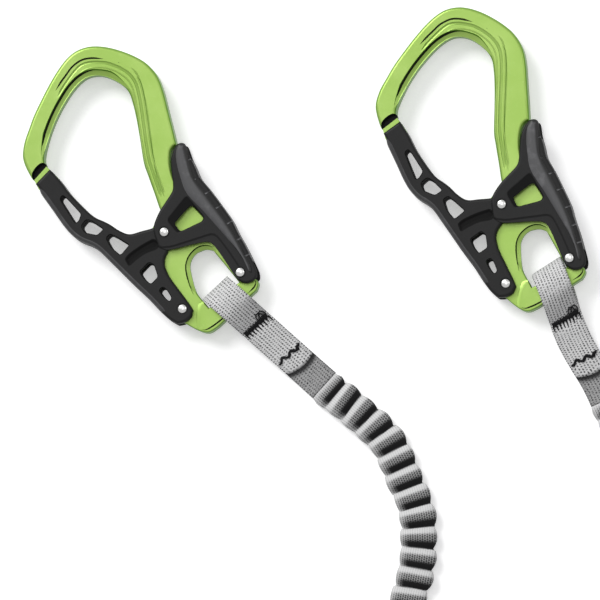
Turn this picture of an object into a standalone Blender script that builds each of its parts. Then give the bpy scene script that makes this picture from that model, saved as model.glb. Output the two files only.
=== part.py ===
# Via ferrata lanyard: two palm squeeze carabiners, each on an elasticated webbing arm,
# joined to an energy absorber pouch with a tie in loop. Metres, +Z up.
# It lies on the plane Z = 0, with each carabiner flat and its hook side towards +Y.
import math

import bmesh
import bpy
from mathutils import Matrix, Vector

# Carabiner, driving dimensions
CARABINER_LENGTH = 0.156
HOOK_THICKNESS = 0.011
PLATE_THICKNESS = 0.005
BAR_THICKNESS = 0.0076
HOOK_CHAMFER = 0.0014
BAR_CHAMFER = 0.0018
PLATE_CHAMFER = 0.0005
LAYER_CLEARANCE = 0.0003
TINE_THICKNESS = 0.0012
COVER_FACE = 0.0013
COVER_WALL_SHARE = 0.00705
COVER_CHAMFER = 0.0005
WINDOW_COLLAR_SHARE = 0.00513
CHEEK_THICKNESS = 0.0014
LEVER_CHAMFER = 0.0007
LEVER_BOSS_RADIUS = 0.0024
FORK_SHARE = 0.303

# Rivets and the pin that locks the lever to the gate
RIVET_RADIUS = 0.0015
LOCK_PIN_RADIUS = 0.00115
RIVET_HEAD_RADIUS = 0.00225
RIVET_HEAD_HEIGHT = 0.0007
HEAD_GAP = 0.00015
PIN_CLEARANCE = 0.00025
ROUND_SIDES = 16

# Travel of the lever and of the gate that it drives
LEVER_TRAVEL_DEG = 7.0
GATE_TRAVEL_DEG = 20.0
SLOT_STEPS = 5

# Lever return spring, a torsion coil round the boss
SPRING_WIRE = 0.0007
SPRING_TURNS = 2
SPRING_POINTS = 10
SPRING_LEG = 0.0042
SPRING_COIL_GAP = 0.00045
SPRING_START_DEG = 60.0

# Webbing arms
STRAP_THICKNESS = 0.0019
STRAP_WIDTH_SHARE = 0.109
STRAP_GAP = 0.0003
LOOP_HALF_HEIGHT = 0.0070
LOOP_LENGTH_SHARE = 0.0647
LOOP_STEPS = 12
EYE_STRAP_LENGTH = 0.0614
EYE_LIP_LENGTH = 0.0473
TACK_NEAR = 0.0170
TACK_FAR = 0.0387
# along the strap as shares of the top layer's length, then up as shares of the way to the pinch
LOWER_EYE_SHARES = [(1.06, 0.0), (0.85, 0.18), (0.63, 0.42), (0.45, 0.70), (0.34, 0.78)]
# the same with the spacing of the two layers as shares of their pitch
UPPER_EYE_SHARES = [(0.34, 0.78, 1.06), (0.45, 0.70, 1.02), (0.63, 0.42, 1.02), (0.85, 0.18, 1.01)]
# along as before, then away from the middle as shares of the loop's half height
LOWER_LOOP_SHARES = [(0.23, 0.62), (0.12, 0.86)]
UPPER_LOOP_SHARES = [(0.12, 0.86), (0.23, 0.52)]
TACK_LENGTH = 0.0028
TACK_WIDTH_SHARE = 0.853
TACK_THICKNESS = 0.0008
FLOOR_GAP = 0.00005

# Ribbed sleeve: pleats of elasticated tubular webbing round a flat elastic core
RIB_PITCH = 0.0101
SLEEVE_WIDTH = 0.0186
SLEEVE_HEIGHT = 0.0084
VALLEY_WIDTH = 0.0162
VALLEY_HEIGHT = 0.0062
SLEEVE_END_WIDTH = 0.0170
SLEEVE_END_HEIGHT = 0.0046
BORE_WIDTH = 0.0126
BORE_HEIGHT = 0.0030
CORE_WIDTH = 0.0104
CORE_HEIGHT = 0.0018
SLEEVE_SIDES = 8
BORE_RINGS = 22
SLEEVE_START_GAP = 0.0007
CORE_INSET = 0.0015

# Energy absorber
POUCH_LENGTH = 0.112
POUCH_WIDTH = 0.058
POUCH_HEIGHT = 0.021
POUCH_WALL = 0.0015
POUCH_CHAMFER = 0.0030
ABSORBER_THICKNESS = 0.0020
ABSORBER_WIDTH = 0.030
ABSORBER_LAYERS = 5
ABSORBER_HALF_RUN = 0.036
ABSORBER_TAIL = 0.050
ARM_SPACING = 0.023
SLIT_MARGIN = 0.0022
TAB_END = 0.018
TIE_THICKNESS = 0.0020
TIE_WIDTH = 0.025
TIE_LOOP_END = 0.150
TIE_LOOP_RADIUS = 0.0074
TIE_START = 0.035
TIE_TACK_AT = 0.044
TIE_SLOPE_LENGTH = 0.018
FOLD_STEPS = 4
TIE_BEND_STEPS = 8
# the tie in loop's upper strand: along as shares of its end, up as shares of its top
TIE_UPPER_SHARES = [(0.8, 1.02), (0.64, 0.9), (0.5, 0.63)]
# an arm's end tab: along as shares of its slope's length, up as shares of its rise
END_TAB_SHARES = [(0.12, 0.0), (0.4, 0.34), (0.7, 0.82), (1.0, 1.0)]

# Where things lie on the surface
LEFT_BAR_PLACE = (-0.0345, -0.0007)
RIGHT_BAR_PLACE = (0.1266, 0.0069)
LEFT_TURN_DEG = 0.0
RIGHT_TURN_DEG = -10.45
BAR_ANGLE_DEG = 43.2
LEFT_STRAP_ANGLE_DEG = -41.5
RIGHT_STRAP_ANGLE_DEG = -65.5
POUCH_PLACE = (0.0, -0.3465)
SLEEVE_END_X = 0.097

# The routes of the two arms after their sewn ends, in metres, as they lie
LEFT_ROUTE = [
    (0.0305, -0.0565), (0.0390, -0.0640), (0.0455, -0.0715), (0.0505, -0.0795),
    (0.0543, -0.0890), (0.0572, -0.0980), (0.0593, -0.1075), (0.0600, -0.1180), (0.0592, -0.1280),
    (0.0573, -0.1375), (0.0553, -0.1470), (0.0525, -0.1630), (0.0520, -0.1810), (0.0550, -0.2000),
    (0.0630, -0.2180), (0.0770, -0.2330), (0.0950, -0.2430), (0.1160, -0.2510), (0.1360, -0.2630),
    (0.1480, -0.2830), (0.1480, -0.3060), (0.1360, -0.3250), (0.1190, -0.3343),
]
RIGHT_ROUTE = [
    (0.1620, -0.0715), (0.1690, -0.0860), (0.1775, -0.1060), (0.1865, -0.1300),
    (0.1945, -0.1580), (0.2005, -0.1900), (0.2040, -0.2220), (0.2050, -0.2550), (0.2010, -0.2880),
    (0.1910, -0.3170), (0.1720, -0.3410), (0.1460, -0.3550), (0.1190, -0.3580),
]

# Outlines of a carabiner, read on a photograph in pixels, with y downwards
CARABINER_PIXELS = 312.0
BAR_PIXEL = (231.1, 301.5)
LOCK_PIN_PIXEL = (165.3, 232.6)
LEVER_PIVOT_PIXEL = (241.6, 273.1)
GATE_PIVOT_PIXEL = (183.9, 308.9)
HOOK_PIXELS = [
    (31, 178), (29, 172), (25, 168), (22.5, 161), (22.3, 152), (24, 141), (28, 129), (33, 115), (40, 100),
    (47, 86), (56, 70.5), (65, 58.5), (74, 51), (85, 46.8), (96, 46), (108, 47.6), (120, 51), (132, 55.8),
    (143, 62), (151, 69.5), (157, 78), (162, 91), (167, 110), (172, 129), (176, 145), (171.5, 149.5),
    (170, 156), (170.5, 166), (174, 178), (184, 195), (200, 213), (184, 213.6), (173, 213.6), (163.5, 214.5),
    (160, 209), (155, 195), (148, 176), (143.5, 163), (139.5, 140), (136, 121), (132, 104), (127.5, 92),
    (119, 83.5), (108, 77.5), (98, 75), (88, 76), (80, 80.5), (72, 89), (64, 101), (56.5, 115),
    (50, 131), (45, 146), (42.6, 158), (36.5, 170.5),
]
PLATE_PIXELS = [
    (158, 203), (161, 211), (160.5, 219), (153, 226), (150.5, 235), (150.5, 246), (155, 252.5), (161, 256),
    (161.5, 264), (162.5, 276), (168, 286), (174, 296), (172.5, 303), (172.5, 311), (177, 318),
    (185, 322), (192, 326), (200, 330), (207, 332), (212, 331.3), (217, 328), (223, 323), (253, 294),
    (257, 290), (259, 284), (257, 279.5), (253, 277.5), (250, 274), (247, 268), (244, 261), (240, 254),
    (230, 245), (216, 231), (200, 213), (184, 196), (176, 190),
]
BAR_PIXELS = [
    (204, 301), (210, 308.2), (239.5, 282.5), (246, 285), (252, 282.5), (258.5, 283.5), (257, 290), (253, 294),
    (223, 323), (217, 328), (212, 331.3), (207, 332), (201, 330.3), (197.5, 324), (197.5, 312), (199, 304),
]
EYE_PIXELS = [
    (190, 265), (191, 272), (194, 284), (197, 292), (201, 297.5), (204, 301), (210, 308.2), (239.5, 282.5),
    (237, 279), (213, 250), (206, 249), (201, 250.5), (196, 253), (192, 258),
]
COVER_PIXELS = [
    (35.5, 183.5), (49.5, 168.8), (60, 180), (70, 193), (80, 203.5), (90, 213), (97, 218), (104, 221),
    (111, 224.6), (120, 230.5), (130, 234), (142, 231), (153, 228), (158.5, 224.5), (165, 223.5),
    (171, 226.5), (174, 232), (173, 240), (169, 251), (166, 258), (165.5, 265), (168, 272), (172, 279),
    (181, 291), (190, 303), (194.5, 310), (193, 317), (187, 322), (179, 324), (171, 319.5), (162, 311.5),
    (150, 299), (136, 286), (115, 265.3), (100, 250.5), (92, 245), (82, 241), (73, 234.5), (65, 224.5),
    (55, 210), (46, 197),
]
TIP_PIXELS = [(34, 179.5), (46, 166), (56, 175.5), (62, 186), (56, 199), (44.5, 194.5), (38.5, 188.5)]
WINDOW_PIXELS = [
    [(60.5, 199), (63, 195), (68, 199.5), (81.5, 214), (79, 221), (76, 223)],
    [(82, 226), (87, 219.5), (92, 221), (104, 229), (98, 235), (86, 232.5)],
    [(107, 238), (111, 234), (117, 237), (130, 245), (121.5, 255), (112, 247)],
    [(141, 272), (150, 262.5), (155, 265), (159, 277), (152, 284), (145, 278)],
    [(160.5, 290.5), (164, 287), (168, 290), (173, 298), (171, 301.5), (164.5, 296)],
]
LEVER_PIXELS = [
    (176, 145.5), (180, 143.5), (183, 143.5), (186, 146), (190, 157), (195, 167), (200, 178), (210, 190),
    (222, 206), (232, 220), (238, 232), (246, 246), (253, 260), (258, 271), (258.5, 277.5), (255, 281.5),
    (248, 284), (241, 282), (235, 275), (225, 260), (218, 250), (213, 244.5), (208, 242.5), (196, 244.5),
    (180, 248.5), (168, 250.5), (159.5, 247.5), (154.5, 232), (155, 224), (160, 212), (167, 201),
    (172.5, 192), (173.3, 185), (172, 175), (171, 163), (172.5, 153),
]
LEVER_HOLLOW_PIXELS = [
    (140, 130), (205, 130), (204, 156), (189.5, 162), (195, 175), (203, 187), (216, 203), (226, 217),
    (233, 231), (241, 246), (248.5, 260.5), (263, 263), (264, 300), (140, 300),
]
LEVER_WINDOW_PIXELS = [
    (187, 197), (190, 200), (205, 218), (204, 222), (181, 232.5), (178.5, 233), (168, 221),
]

# Heights in a carabiner, from its middle plane
HOOK_HALF = HOOK_THICKNESS / 2
PLATE_HALF = PLATE_THICKNESS / 2
BAR_HALF = BAR_THICKNESS / 2
FORK_HALF = PLATE_HALF + LAYER_CLEARANCE
CORE_HALF = FORK_HALF + TINE_THICKNESS
POCKET_HALF = CORE_HALF + LAYER_CLEARANCE
COVER_HALF = POCKET_HALF + COVER_FACE
HOLLOW_HALF = max(COVER_HALF, HOOK_HALF) + LAYER_CLEARANCE
LEVER_HALF = HOLLOW_HALF + CHEEK_THICKNESS
MIDDLE_HEIGHT = LEVER_HALF + HEAD_GAP + RIVET_HEAD_HEIGHT
PIXEL = CARABINER_LENGTH / CARABINER_PIXELS
GATE_RATIO = -GATE_TRAVEL_DEG / LEVER_TRAVEL_DEG
FORK_RADIUS = CARABINER_LENGTH * FORK_SHARE
COVER_WALL = CARABINER_LENGTH * COVER_WALL_SHARE
WINDOW_COLLAR = CARABINER_LENGTH * WINDOW_COLLAR_SHARE

# Webbing that has to fit the carabiner's eye
STRAP_WIDTH = CARABINER_LENGTH * STRAP_WIDTH_SHARE
TACK_WIDTH = STRAP_WIDTH * TACK_WIDTH_SHARE
LOOP_HALF_LENGTH = CARABINER_LENGTH * LOOP_LENGTH_SHARE
OVERRUN = CARABINER_LENGTH / 10

# Heights in the absorber, from the surface
LAYER_PITCH = ABSORBER_THICKNESS + STRAP_GAP
FIRST_LAYER = POUCH_WALL + STRAP_GAP + ABSORBER_THICKNESS / 2
TAB_HEIGHT = FIRST_LAYER + ABSORBER_LAYERS * LAYER_PITCH
TIE_LOW = FIRST_LAYER + LAYER_PITCH
TIE_HIGH = TIE_LOW + TIE_THICKNESS + STRAP_GAP

for old in list(bpy.data.objects):
    bpy.data.objects.remove(old)
lanyard = bpy.data.collections.new("ViaFerrataLanyard")
bpy.context.scene.collection.children.link(lanyard)


# Materials

def finish(name, colour, roughness, metallic):
    material = bpy.data.materials.new(name)
    material.use_nodes = True
    shader = material.node_tree.nodes["Principled BSDF"]
    shader.inputs["Base Color"].default_value = (*colour, 1.0)
    shader.inputs["Roughness"].default_value = roughness
    shader.inputs["Metallic"].default_value = metallic
    material.diffuse_color = (*colour, 1.0)
    return material


green_aluminium = finish("green_anodised_aluminium", (0.42, 0.66, 0.19), 0.35, 0.6)
black_plastic = finish("black_plastic", (0.025, 0.025, 0.027), 0.45, 0.0)
bright_steel = finish("bright_steel", (0.75, 0.75, 0.74), 0.2, 1.0)
spring_steel = finish("spring_steel", (0.5, 0.5, 0.5), 0.3, 1.0)
grey_webbing = finish("grey_webbing", (0.33, 0.34, 0.35), 0.85, 0.0)
dark_thread = finish("dark_thread", (0.05, 0.05, 0.055), 0.8, 0.0)
elastic_rubber = finish("elastic_rubber", (0.62, 0.58, 0.48), 0.7, 0.0)
pouch_fabric = finish("pouch_fabric", (0.05, 0.055, 0.06), 0.9, 0.0)


# Outline helpers

def place(points):
    return [((x - BAR_PIXEL[0]) * PIXEL, (BAR_PIXEL[1] - y) * PIXEL) for x, y in points]


def signed_area(points):
    pairs = zip(points, points[1:] + points[:1])
    return sum(a[0] * b[1] - b[0] * a[1] for a, b in pairs) / 2


def grown(points, distance):
    """The outline moved outwards by distance, or inwards where it is negative."""
    side = 1 if signed_area(points) > 0 else -1
    count = len(points)
    moved = []
    for i in range(count):
        here = Vector(points[i])
        before = (here - Vector(points[i - 1])).normalized()
        after = (Vector(points[(i + 1) % count]) - here).normalized()
        normal_before = Vector((before.y, -before.x)) * side
        normal_after = Vector((after.y, -after.x)) * side
        half = (normal_before + normal_after).normalized()
        reach = distance / max(half.dot(normal_after), 0.5)
        moved.append(tuple(here + half * reach))
    return moved


def band(path, width):
    """The outline of a band of the given width that follows an open path."""
    count = len(path)
    left, right = [], []
    for i in range(count):
        here = Vector(path[i])
        before = (here - Vector(path[max(i - 1, 0)]))
        after = (Vector(path[min(i + 1, count - 1)]) - here)
        before = before.normalized() if before.length else after.normalized()
        after = after.normalized() if after.length else before
        half = Vector((-(before.y + after.y), before.x + after.x)).normalized()
        reach = width / 2 / max(half.dot(Vector((-after.y, after.x))), 0.5)
        left.append(tuple(here + half * reach))
        right.append(tuple(here - half * reach))
    return left + right[::-1]


def rotated(point, centre, degrees):
    turn = Matrix.Rotation(math.radians(degrees), 2)
    return tuple(turn @ (Vector(point) - Vector(centre)) + Vector(centre))


# Solid helpers

def as_object(name, bm, material):
    bmesh.ops.recalc_face_normals(bm, faces=bm.faces[:])
    mesh = bpy.data.meshes.new(name)
    bm.to_mesh(mesh)
    bm.free()
    obj = bpy.data.objects.new(name, mesh)
    obj.data.materials.append(material)
    lanyard.objects.link(obj)
    return obj


def plate(name, outlines, low, high, material, chamfer=0.0):
    """One or more flat outlines given their thickness from low to high, with chamfered rims."""
    bm = bmesh.new()
    for outline in outlines:
        ring = [bm.verts.new((x, y, low)) for x, y in outline]
        bm.faces.new(ring)
    raised = bmesh.ops.extrude_face_region(bm, geom=bm.faces[:], use_keep_orig=True)
    tops = [item for item in raised["geom"] if isinstance(item, bmesh.types.BMVert)]
    bmesh.ops.translate(bm, verts=tops, vec=(0, 0, high - low))
    bmesh.ops.recalc_face_normals(bm, faces=bm.faces[:])
    if chamfer:
        rims = [e for e in bm.edges if abs(e.verts[0].co.z - e.verts[1].co.z) < (high - low) / 2]
        bmesh.ops.bevel(bm, geom=rims, offset=chamfer, offset_type="OFFSET", segments=1, profile=0.5,
                        affect="EDGES", material=-1)
    return as_object(name, bm, material)


def turned(name, profile, centre, material):
    """A profile of (radius, height) points from axis to axis, spun round a vertical axis."""
    bm = bmesh.new()
    verts = [bm.verts.new((r, 0, z)) for r, z in profile]
    edges = [bm.edges.new(pair) for pair in zip(verts, verts[1:])]
    bmesh.ops.spin(bm, geom=verts + edges, cent=(0, 0, 0), axis=(0, 0, 1), angle=math.tau,
                   steps=ROUND_SIDES, use_merge=True)
    bmesh.ops.remove_doubles(bm, verts=bm.verts[:], dist=PIN_CLEARANCE / 10)
    bmesh.ops.translate(bm, verts=bm.verts[:], vec=(centre[0], centre[1], 0))
    return as_object(name, bm, material)


def pin_cutter(centre, radius, half):
    profile = [(0, -half), (radius, -half), (radius, half), (0, half)]
    return turned("pin_cutter", profile, centre, bright_steel)


def combined(target, tool, operation):
    """The target's mesh after a Boolean with the tool, which is used up."""
    cut = target.modifiers.new("cut", "BOOLEAN")
    cut.object = tool
    cut.operation = operation
    cut.solver = "EXACT"
    depsgraph = bpy.context.evaluated_depsgraph_get()
    mesh = bpy.data.meshes.new_from_object(target.evaluated_get(depsgraph))
    target.modifiers.clear()
    mesh.name = target.name
    target.data = mesh
    bpy.data.objects.remove(tool)
    bm = bmesh.new()
    bm.from_mesh(mesh)
    bmesh.ops.dissolve_degenerate(bm, edges=bm.edges[:], dist=PIN_CLEARANCE / 100)
    bm.to_mesh(mesh)
    bm.free()
    return target


def wire(name, points, thickness, material):
    """A round wire along points, as a curve with filled caps made a closed mesh."""
    curve = bpy.data.curves.new(name, "CURVE")
    curve.dimensions = "3D"
    curve.bevel_depth = thickness / 2
    curve.bevel_resolution = 1
    curve.use_fill_caps = True
    line = curve.splines.new("POLY")
    line.points.add(len(points) - 1)
    for point, spot in zip(line.points, points):
        point.co = (*spot, 1)
    guide = bpy.data.objects.new(name + "_guide", curve)
    lanyard.objects.link(guide)
    depsgraph = bpy.context.evaluated_depsgraph_get()
    mesh = bpy.data.meshes.new_from_object(guide.evaluated_get(depsgraph))
    bpy.data.objects.remove(guide)
    bm = bmesh.new()
    bm.from_mesh(mesh)
    bmesh.ops.remove_doubles(bm, verts=bm.verts[:], dist=thickness / 100)
    return as_object(name, bm, material)


def strap(name, path, thickness, width, frame, material):
    """A band bent along path in its (run, height) plane and extruded over its width.

    frame holds the start point and the directions of the run and of the width.
    """
    start, run, across = frame
    obj = plate(name, [band(path, thickness)], -width / 2, width / 2, material)
    columns = [(*run, 0), (0, 0, 1), (*across, 0)]
    turn = Matrix([[column[row] for column in columns] for row in range(3)]).to_4x4()
    obj.data.transform(Matrix.Translation((*start, 0)) @ turn)
    bm = bmesh.new()
    bm.from_mesh(obj.data)
    bmesh.ops.recalc_face_normals(bm, faces=bm.faces[:])
    bm.to_mesh(obj.data)
    bm.free()
    return obj


# Carabiner pieces, in the carabiner's own frame with the webbing bar at its origin

lock_pin_place = place([LOCK_PIN_PIXEL])[0]
lever_pivot = place([LEVER_PIVOT_PIXEL])[0]
gate_pivot = place([GATE_PIVOT_PIXEL])[0]


def lock_pin_path():
    """Where the lock pin is in the body's frame while the lever is squeezed."""
    steps = [LEVER_TRAVEL_DEG * i / (SLOT_STEPS - 1) for i in range(SLOT_STEPS)]
    return [rotated(lock_pin_place, lever_pivot, step) for step in steps]


def gate_slot_path():
    """The same pin's places in the frame of the gate, which turns as the lever does."""
    path = []
    for i, spot in enumerate(lock_pin_path()):
        squeeze = LEVER_TRAVEL_DEG * i / (SLOT_STEPS - 1)
        path.append(rotated(spot, gate_pivot, -GATE_RATIO * squeeze))
    return path


def slot_outline(path, radius):
    """A slot with round ends that a pin of the given radius runs in."""
    first = (Vector(path[1]) - Vector(path[0])).normalized()
    last = (Vector(path[-1]) - Vector(path[-2])).normalized()
    sides = band(path, radius * 2)
    half = len(path)
    ends = []
    for centre, direction in ((path[-1], last), (path[0], -first)):
        start = math.atan2(direction.y, direction.x) + math.pi / 2
        ends.append([(centre[0] + radius * math.cos(start - math.pi * k / 4),
                      centre[1] + radius * math.sin(start - math.pi * k / 4)) for k in range(1, 4)])
    return sides[:half] + ends[0] + sides[half:] + ends[1]


def make_body(name):
    body = plate(name, [place(HOOK_PIXELS)], -HOOK_HALF, HOOK_HALF, green_aluminium, HOOK_CHAMFER)
    lower = plate("lower", [place(PLATE_PIXELS)], -PLATE_HALF, PLATE_HALF, green_aluminium, PLATE_CHAMFER)
    combined(body, lower, "UNION")
    bar = plate("bar", [place(BAR_PIXELS)], -BAR_HALF, BAR_HALF, green_aluminium, BAR_CHAMFER)
    combined(body, bar, "UNION")
    combined(body, plate("eye", [place(EYE_PIXELS)], -OVERRUN, OVERRUN, green_aluminium), "DIFFERENCE")
    slot = slot_outline(lock_pin_path(), LOCK_PIN_RADIUS + PIN_CLEARANCE)
    combined(body, plate("pin_slot", [slot], -OVERRUN, OVERRUN, green_aluminium), "DIFFERENCE")
    for centre in (lever_pivot, gate_pivot):
        combined(body, pin_cutter(centre, RIVET_RADIUS + PIN_CLEARANCE, OVERRUN), "DIFFERENCE")
    return body


def make_gate_core(name):
    core_outline = grown(place(COVER_PIXELS), -COVER_WALL - LAYER_CLEARANCE)
    core = plate(name, [core_outline], -CORE_HALF, CORE_HALF, green_aluminium)
    tip = plate("tip", [place(TIP_PIXELS)], -CORE_HALF, CORE_HALF, green_aluminium)
    combined(core, tip, "UNION")
    holes = [grown(place(window), WINDOW_COLLAR + LAYER_CLEARANCE) for window in WINDOW_PIXELS]
    combined(core, plate("windows", holes, -OVERRUN, OVERRUN, green_aluminium), "DIFFERENCE")
    combined(core, pin_cutter(gate_pivot, FORK_RADIUS, FORK_HALF), "DIFFERENCE")
    slot = slot_outline(gate_slot_path(), LOCK_PIN_RADIUS + PIN_CLEARANCE)
    combined(core, plate("pin_slot", [slot], -OVERRUN, OVERRUN, green_aluminium), "DIFFERENCE")
    combined(core, pin_cutter(gate_pivot, RIVET_RADIUS + PIN_CLEARANCE, OVERRUN), "DIFFERENCE")
    return core


def make_gate_cover(name, side):
    """Half of the gate's casing: side 1 is the front and -1 the back."""
    low, high = sorted((side * LAYER_CLEARANCE / 2, side * COVER_HALF))
    cover = plate(name, [place(COVER_PIXELS)], low, high, black_plastic, COVER_CHAMFER)
    inside = grown(place(COVER_PIXELS), -COVER_WALL)
    pocket = plate("pocket", [inside], -POCKET_HALF, POCKET_HALF, black_plastic)
    collars = [grown(place(window), WINDOW_COLLAR) for window in WINDOW_PIXELS]
    combined(pocket, plate("collars", collars, -OVERRUN, OVERRUN, black_plastic), "DIFFERENCE")
    combined(cover, pocket, "DIFFERENCE")
    tip_room = grown(place(TIP_PIXELS), LAYER_CLEARANCE)
    mouth = plate("mouth", [tip_room], -POCKET_HALF, POCKET_HALF, black_plastic)
    combined(cover, mouth, "DIFFERENCE")
    windows = plate("windows", [place(window) for window in WINDOW_PIXELS], -OVERRUN, OVERRUN, black_plastic)
    combined(cover, windows, "DIFFERENCE")
    combined(cover, pin_cutter(gate_pivot, FORK_RADIUS, FORK_HALF), "DIFFERENCE")
    slot = slot_outline(gate_slot_path(), LOCK_PIN_RADIUS + PIN_CLEARANCE)
    combined(cover, plate("pin_slot", [slot], -OVERRUN, OVERRUN, black_plastic), "DIFFERENCE")
    combined(cover, pin_cutter(gate_pivot, RIVET_RADIUS + PIN_CLEARANCE, OVERRUN), "DIFFERENCE")
    return cover


def make_lever(name):
    lever = plate(name, [place(LEVER_PIXELS)], -LEVER_HALF, LEVER_HALF, black_plastic, LEVER_CHAMFER)
    hollow = plate("hollow", [place(LEVER_HOLLOW_PIXELS)], -HOLLOW_HALF, HOLLOW_HALF, black_plastic)
    combined(lever, hollow, "DIFFERENCE")
    window = plate("window", [place(LEVER_WINDOW_PIXELS)], -OVERRUN, OVERRUN, black_plastic)
    combined(lever, window, "DIFFERENCE")
    for side in (1, -1):
        inner, outer = side * FORK_HALF, side * (HOLLOW_HALF + CHEEK_THICKNESS / 2)
        rim = LEVER_BOSS_RADIUS
        profile = [(0, inner), (rim, inner), (rim, outer), (0, outer)]
        boss = turned("boss", profile, lever_pivot, black_plastic)
        combined(lever, boss, "UNION")
    combined(lever, pin_cutter(lever_pivot, RIVET_RADIUS + PIN_CLEARANCE, OVERRUN), "DIFFERENCE")
    combined(lever, pin_cutter(lock_pin_place, LOCK_PIN_RADIUS + PIN_CLEARANCE, OVERRUN), "DIFFERENCE")
    return lever


def make_rivet(name, centre, radius, seat):
    """A rivet with a low head on each face, seat being the height of the faces that it clamps."""
    low = seat + HEAD_GAP
    high = low + RIVET_HEAD_HEIGHT
    shoulder = high - RIVET_HEAD_HEIGHT / 3
    crown = RIVET_HEAD_RADIUS * 2 / 3
    half = [(radius, low), (RIVET_HEAD_RADIUS, low), (RIVET_HEAD_RADIUS, shoulder), (crown, high), (0, high)]
    profile = [(r, -z) for r, z in half[::-1]] + half
    return turned(name, profile, centre, bright_steel)


def make_spring(name):
    """A torsion coil round the lever's front boss, with one leg on the lever and one on the body."""
    radius = LEVER_BOSS_RADIUS + PIN_CLEARANCE + SPRING_WIRE / 2
    pitch = SPRING_WIRE + SPRING_COIL_GAP
    low = PLATE_HALF + LAYER_CLEARANCE / 2 + SPRING_WIRE / 2
    start = math.radians(SPRING_START_DEG)
    steps = SPRING_TURNS * SPRING_POINTS
    coil = []
    for i in range(steps + 1):
        angle = start + math.tau * i / SPRING_POINTS
        coil.append((lever_pivot[0] + radius * math.cos(angle), lever_pivot[1] + radius * math.sin(angle),
                     low + pitch * i / SPRING_POINTS))
    out = Vector((math.sin(start), -math.cos(start), 0)) * SPRING_LEG
    coil.insert(0, tuple(Vector(coil[0]) + out))
    coil.append(tuple(Vector(coil[-1]) - out))
    apart = SPRING_POINTS - 2
    least = min((Vector(a) - Vector(b)).length for i, a in enumerate(coil) for b in coil[i + apart:])
    print(name, "least gap between turns, mm", round((least - SPRING_WIRE) * 1000, 3))
    return wire(name, coil, SPRING_WIRE, spring_steel)


def make_carabiner(side, bar_place, turn_deg):
    """One carabiner. Its empties carry the pieces that turn together."""
    middle = (*bar_place, MIDDLE_HEIGHT)
    turn = math.radians(turn_deg)
    hub = bpy.data.objects.new(side + "_carabiner_frame", None)
    hub.location = middle
    hub.rotation_euler = (0, 0, turn)
    lanyard.objects.link(hub)
    pivots = {}
    for key, spot in (("lever", lever_pivot), ("gate", gate_pivot)):
        pivots[key] = bpy.data.objects.new(side + "_" + key + "_axis", None)
        pivots[key].parent = hub
        pivots[key].location = (*spot, 0)
        lanyard.objects.link(pivots[key])
    fixed = [
        make_body(side + "_carabiner_body"),
        make_rivet(side + "_lever_rivet", lever_pivot, RIVET_RADIUS, LEVER_HALF),
        make_rivet(side + "_gate_rivet", gate_pivot, RIVET_RADIUS, COVER_HALF),
        make_spring(side + "_lever_spring"),
    ]
    for obj in fixed:
        obj.parent = hub
    moving = {
        "gate": [
            make_gate_core(side + "_gate_core"),
            make_gate_cover(side + "_gate_cover_front", 1),
            make_gate_cover(side + "_gate_cover_back", -1),
        ],
        "lever": [
            make_lever(side + "_palm_lever"),
            make_rivet(side + "_lock_pin", lock_pin_place, LOCK_PIN_RADIUS, LEVER_HALF),
        ],
    }
    for key, pieces in moving.items():
        for obj in pieces:
            obj.parent = pivots[key]
            obj.location = -pivots[key].location
    return hub


# Webbing arms

def eye_paths():
    """The folded eye strap's path in its (run, height) plane, from its tail under the bar and back."""
    floor = FLOOR_GAP + STRAP_THICKNESS / 2
    pitch = STRAP_THICKNESS + STRAP_GAP
    middle = MIDDLE_HEIGHT
    reach = EYE_LIP_LENGTH
    pinch = middle - pitch / 2
    rise = pinch - floor
    lower = [(EYE_STRAP_LENGTH, floor)]
    lower += [(reach * along, floor + rise * up) for along, up in LOWER_EYE_SHARES]
    lower += [(reach * along, middle - LOOP_HALF_HEIGHT * down) for along, down in LOWER_LOOP_SHARES]
    fold = []
    for i in range(LOOP_STEPS + 1):
        angle = math.pi * i / LOOP_STEPS
        fold.append((-LOOP_HALF_LENGTH * math.sin(angle), middle - LOOP_HALF_HEIGHT * math.cos(angle)))
    upper = [(reach * along, middle + LOOP_HALF_HEIGHT * up) for along, up in UPPER_LOOP_SHARES]
    upper += [(reach * along, floor + rise * up + pitch * apart) for along, up, apart in UPPER_EYE_SHARES]
    upper.append((reach, floor + pitch))
    return lower, fold, upper


def height_on(path, run):
    for (x0, z0), (x1, z1) in zip(path, path[1:]):
        if x0 <= run <= x1:
            return z0 + (z1 - z0) * (run - x0) / (x1 - x0)
    return path[-1][1]


def strap_frame(bar_place, turn_deg, angle_deg):
    run = (math.cos(math.radians(angle_deg)), math.sin(math.radians(angle_deg)))
    across_deg = (BAR_ANGLE_DEG + turn_deg + angle_deg + 90) / 2
    across = (math.cos(math.radians(across_deg)), math.sin(math.radians(across_deg)))
    return bar_place, run, across


def make_eye_strap(side, frame):
    lower, fold, upper = eye_paths()
    strap(side + "_eye_strap", lower + fold + upper, STRAP_THICKNESS, STRAP_WIDTH, frame, grey_webbing)
    lift = STRAP_THICKNESS / 2 + STRAP_GAP + TACK_THICKNESS / 2
    for key, run in (("near", TACK_NEAR), ("far", TACK_FAR)):
        ends = (run - TACK_LENGTH / 2, run + TACK_LENGTH / 2)
        path = [(end, height_on(upper, end) + lift) for end in ends]
        strap(side + "_bar_tack_" + key, path, TACK_THICKNESS, TACK_WIDTH, frame, dark_thread)


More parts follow.
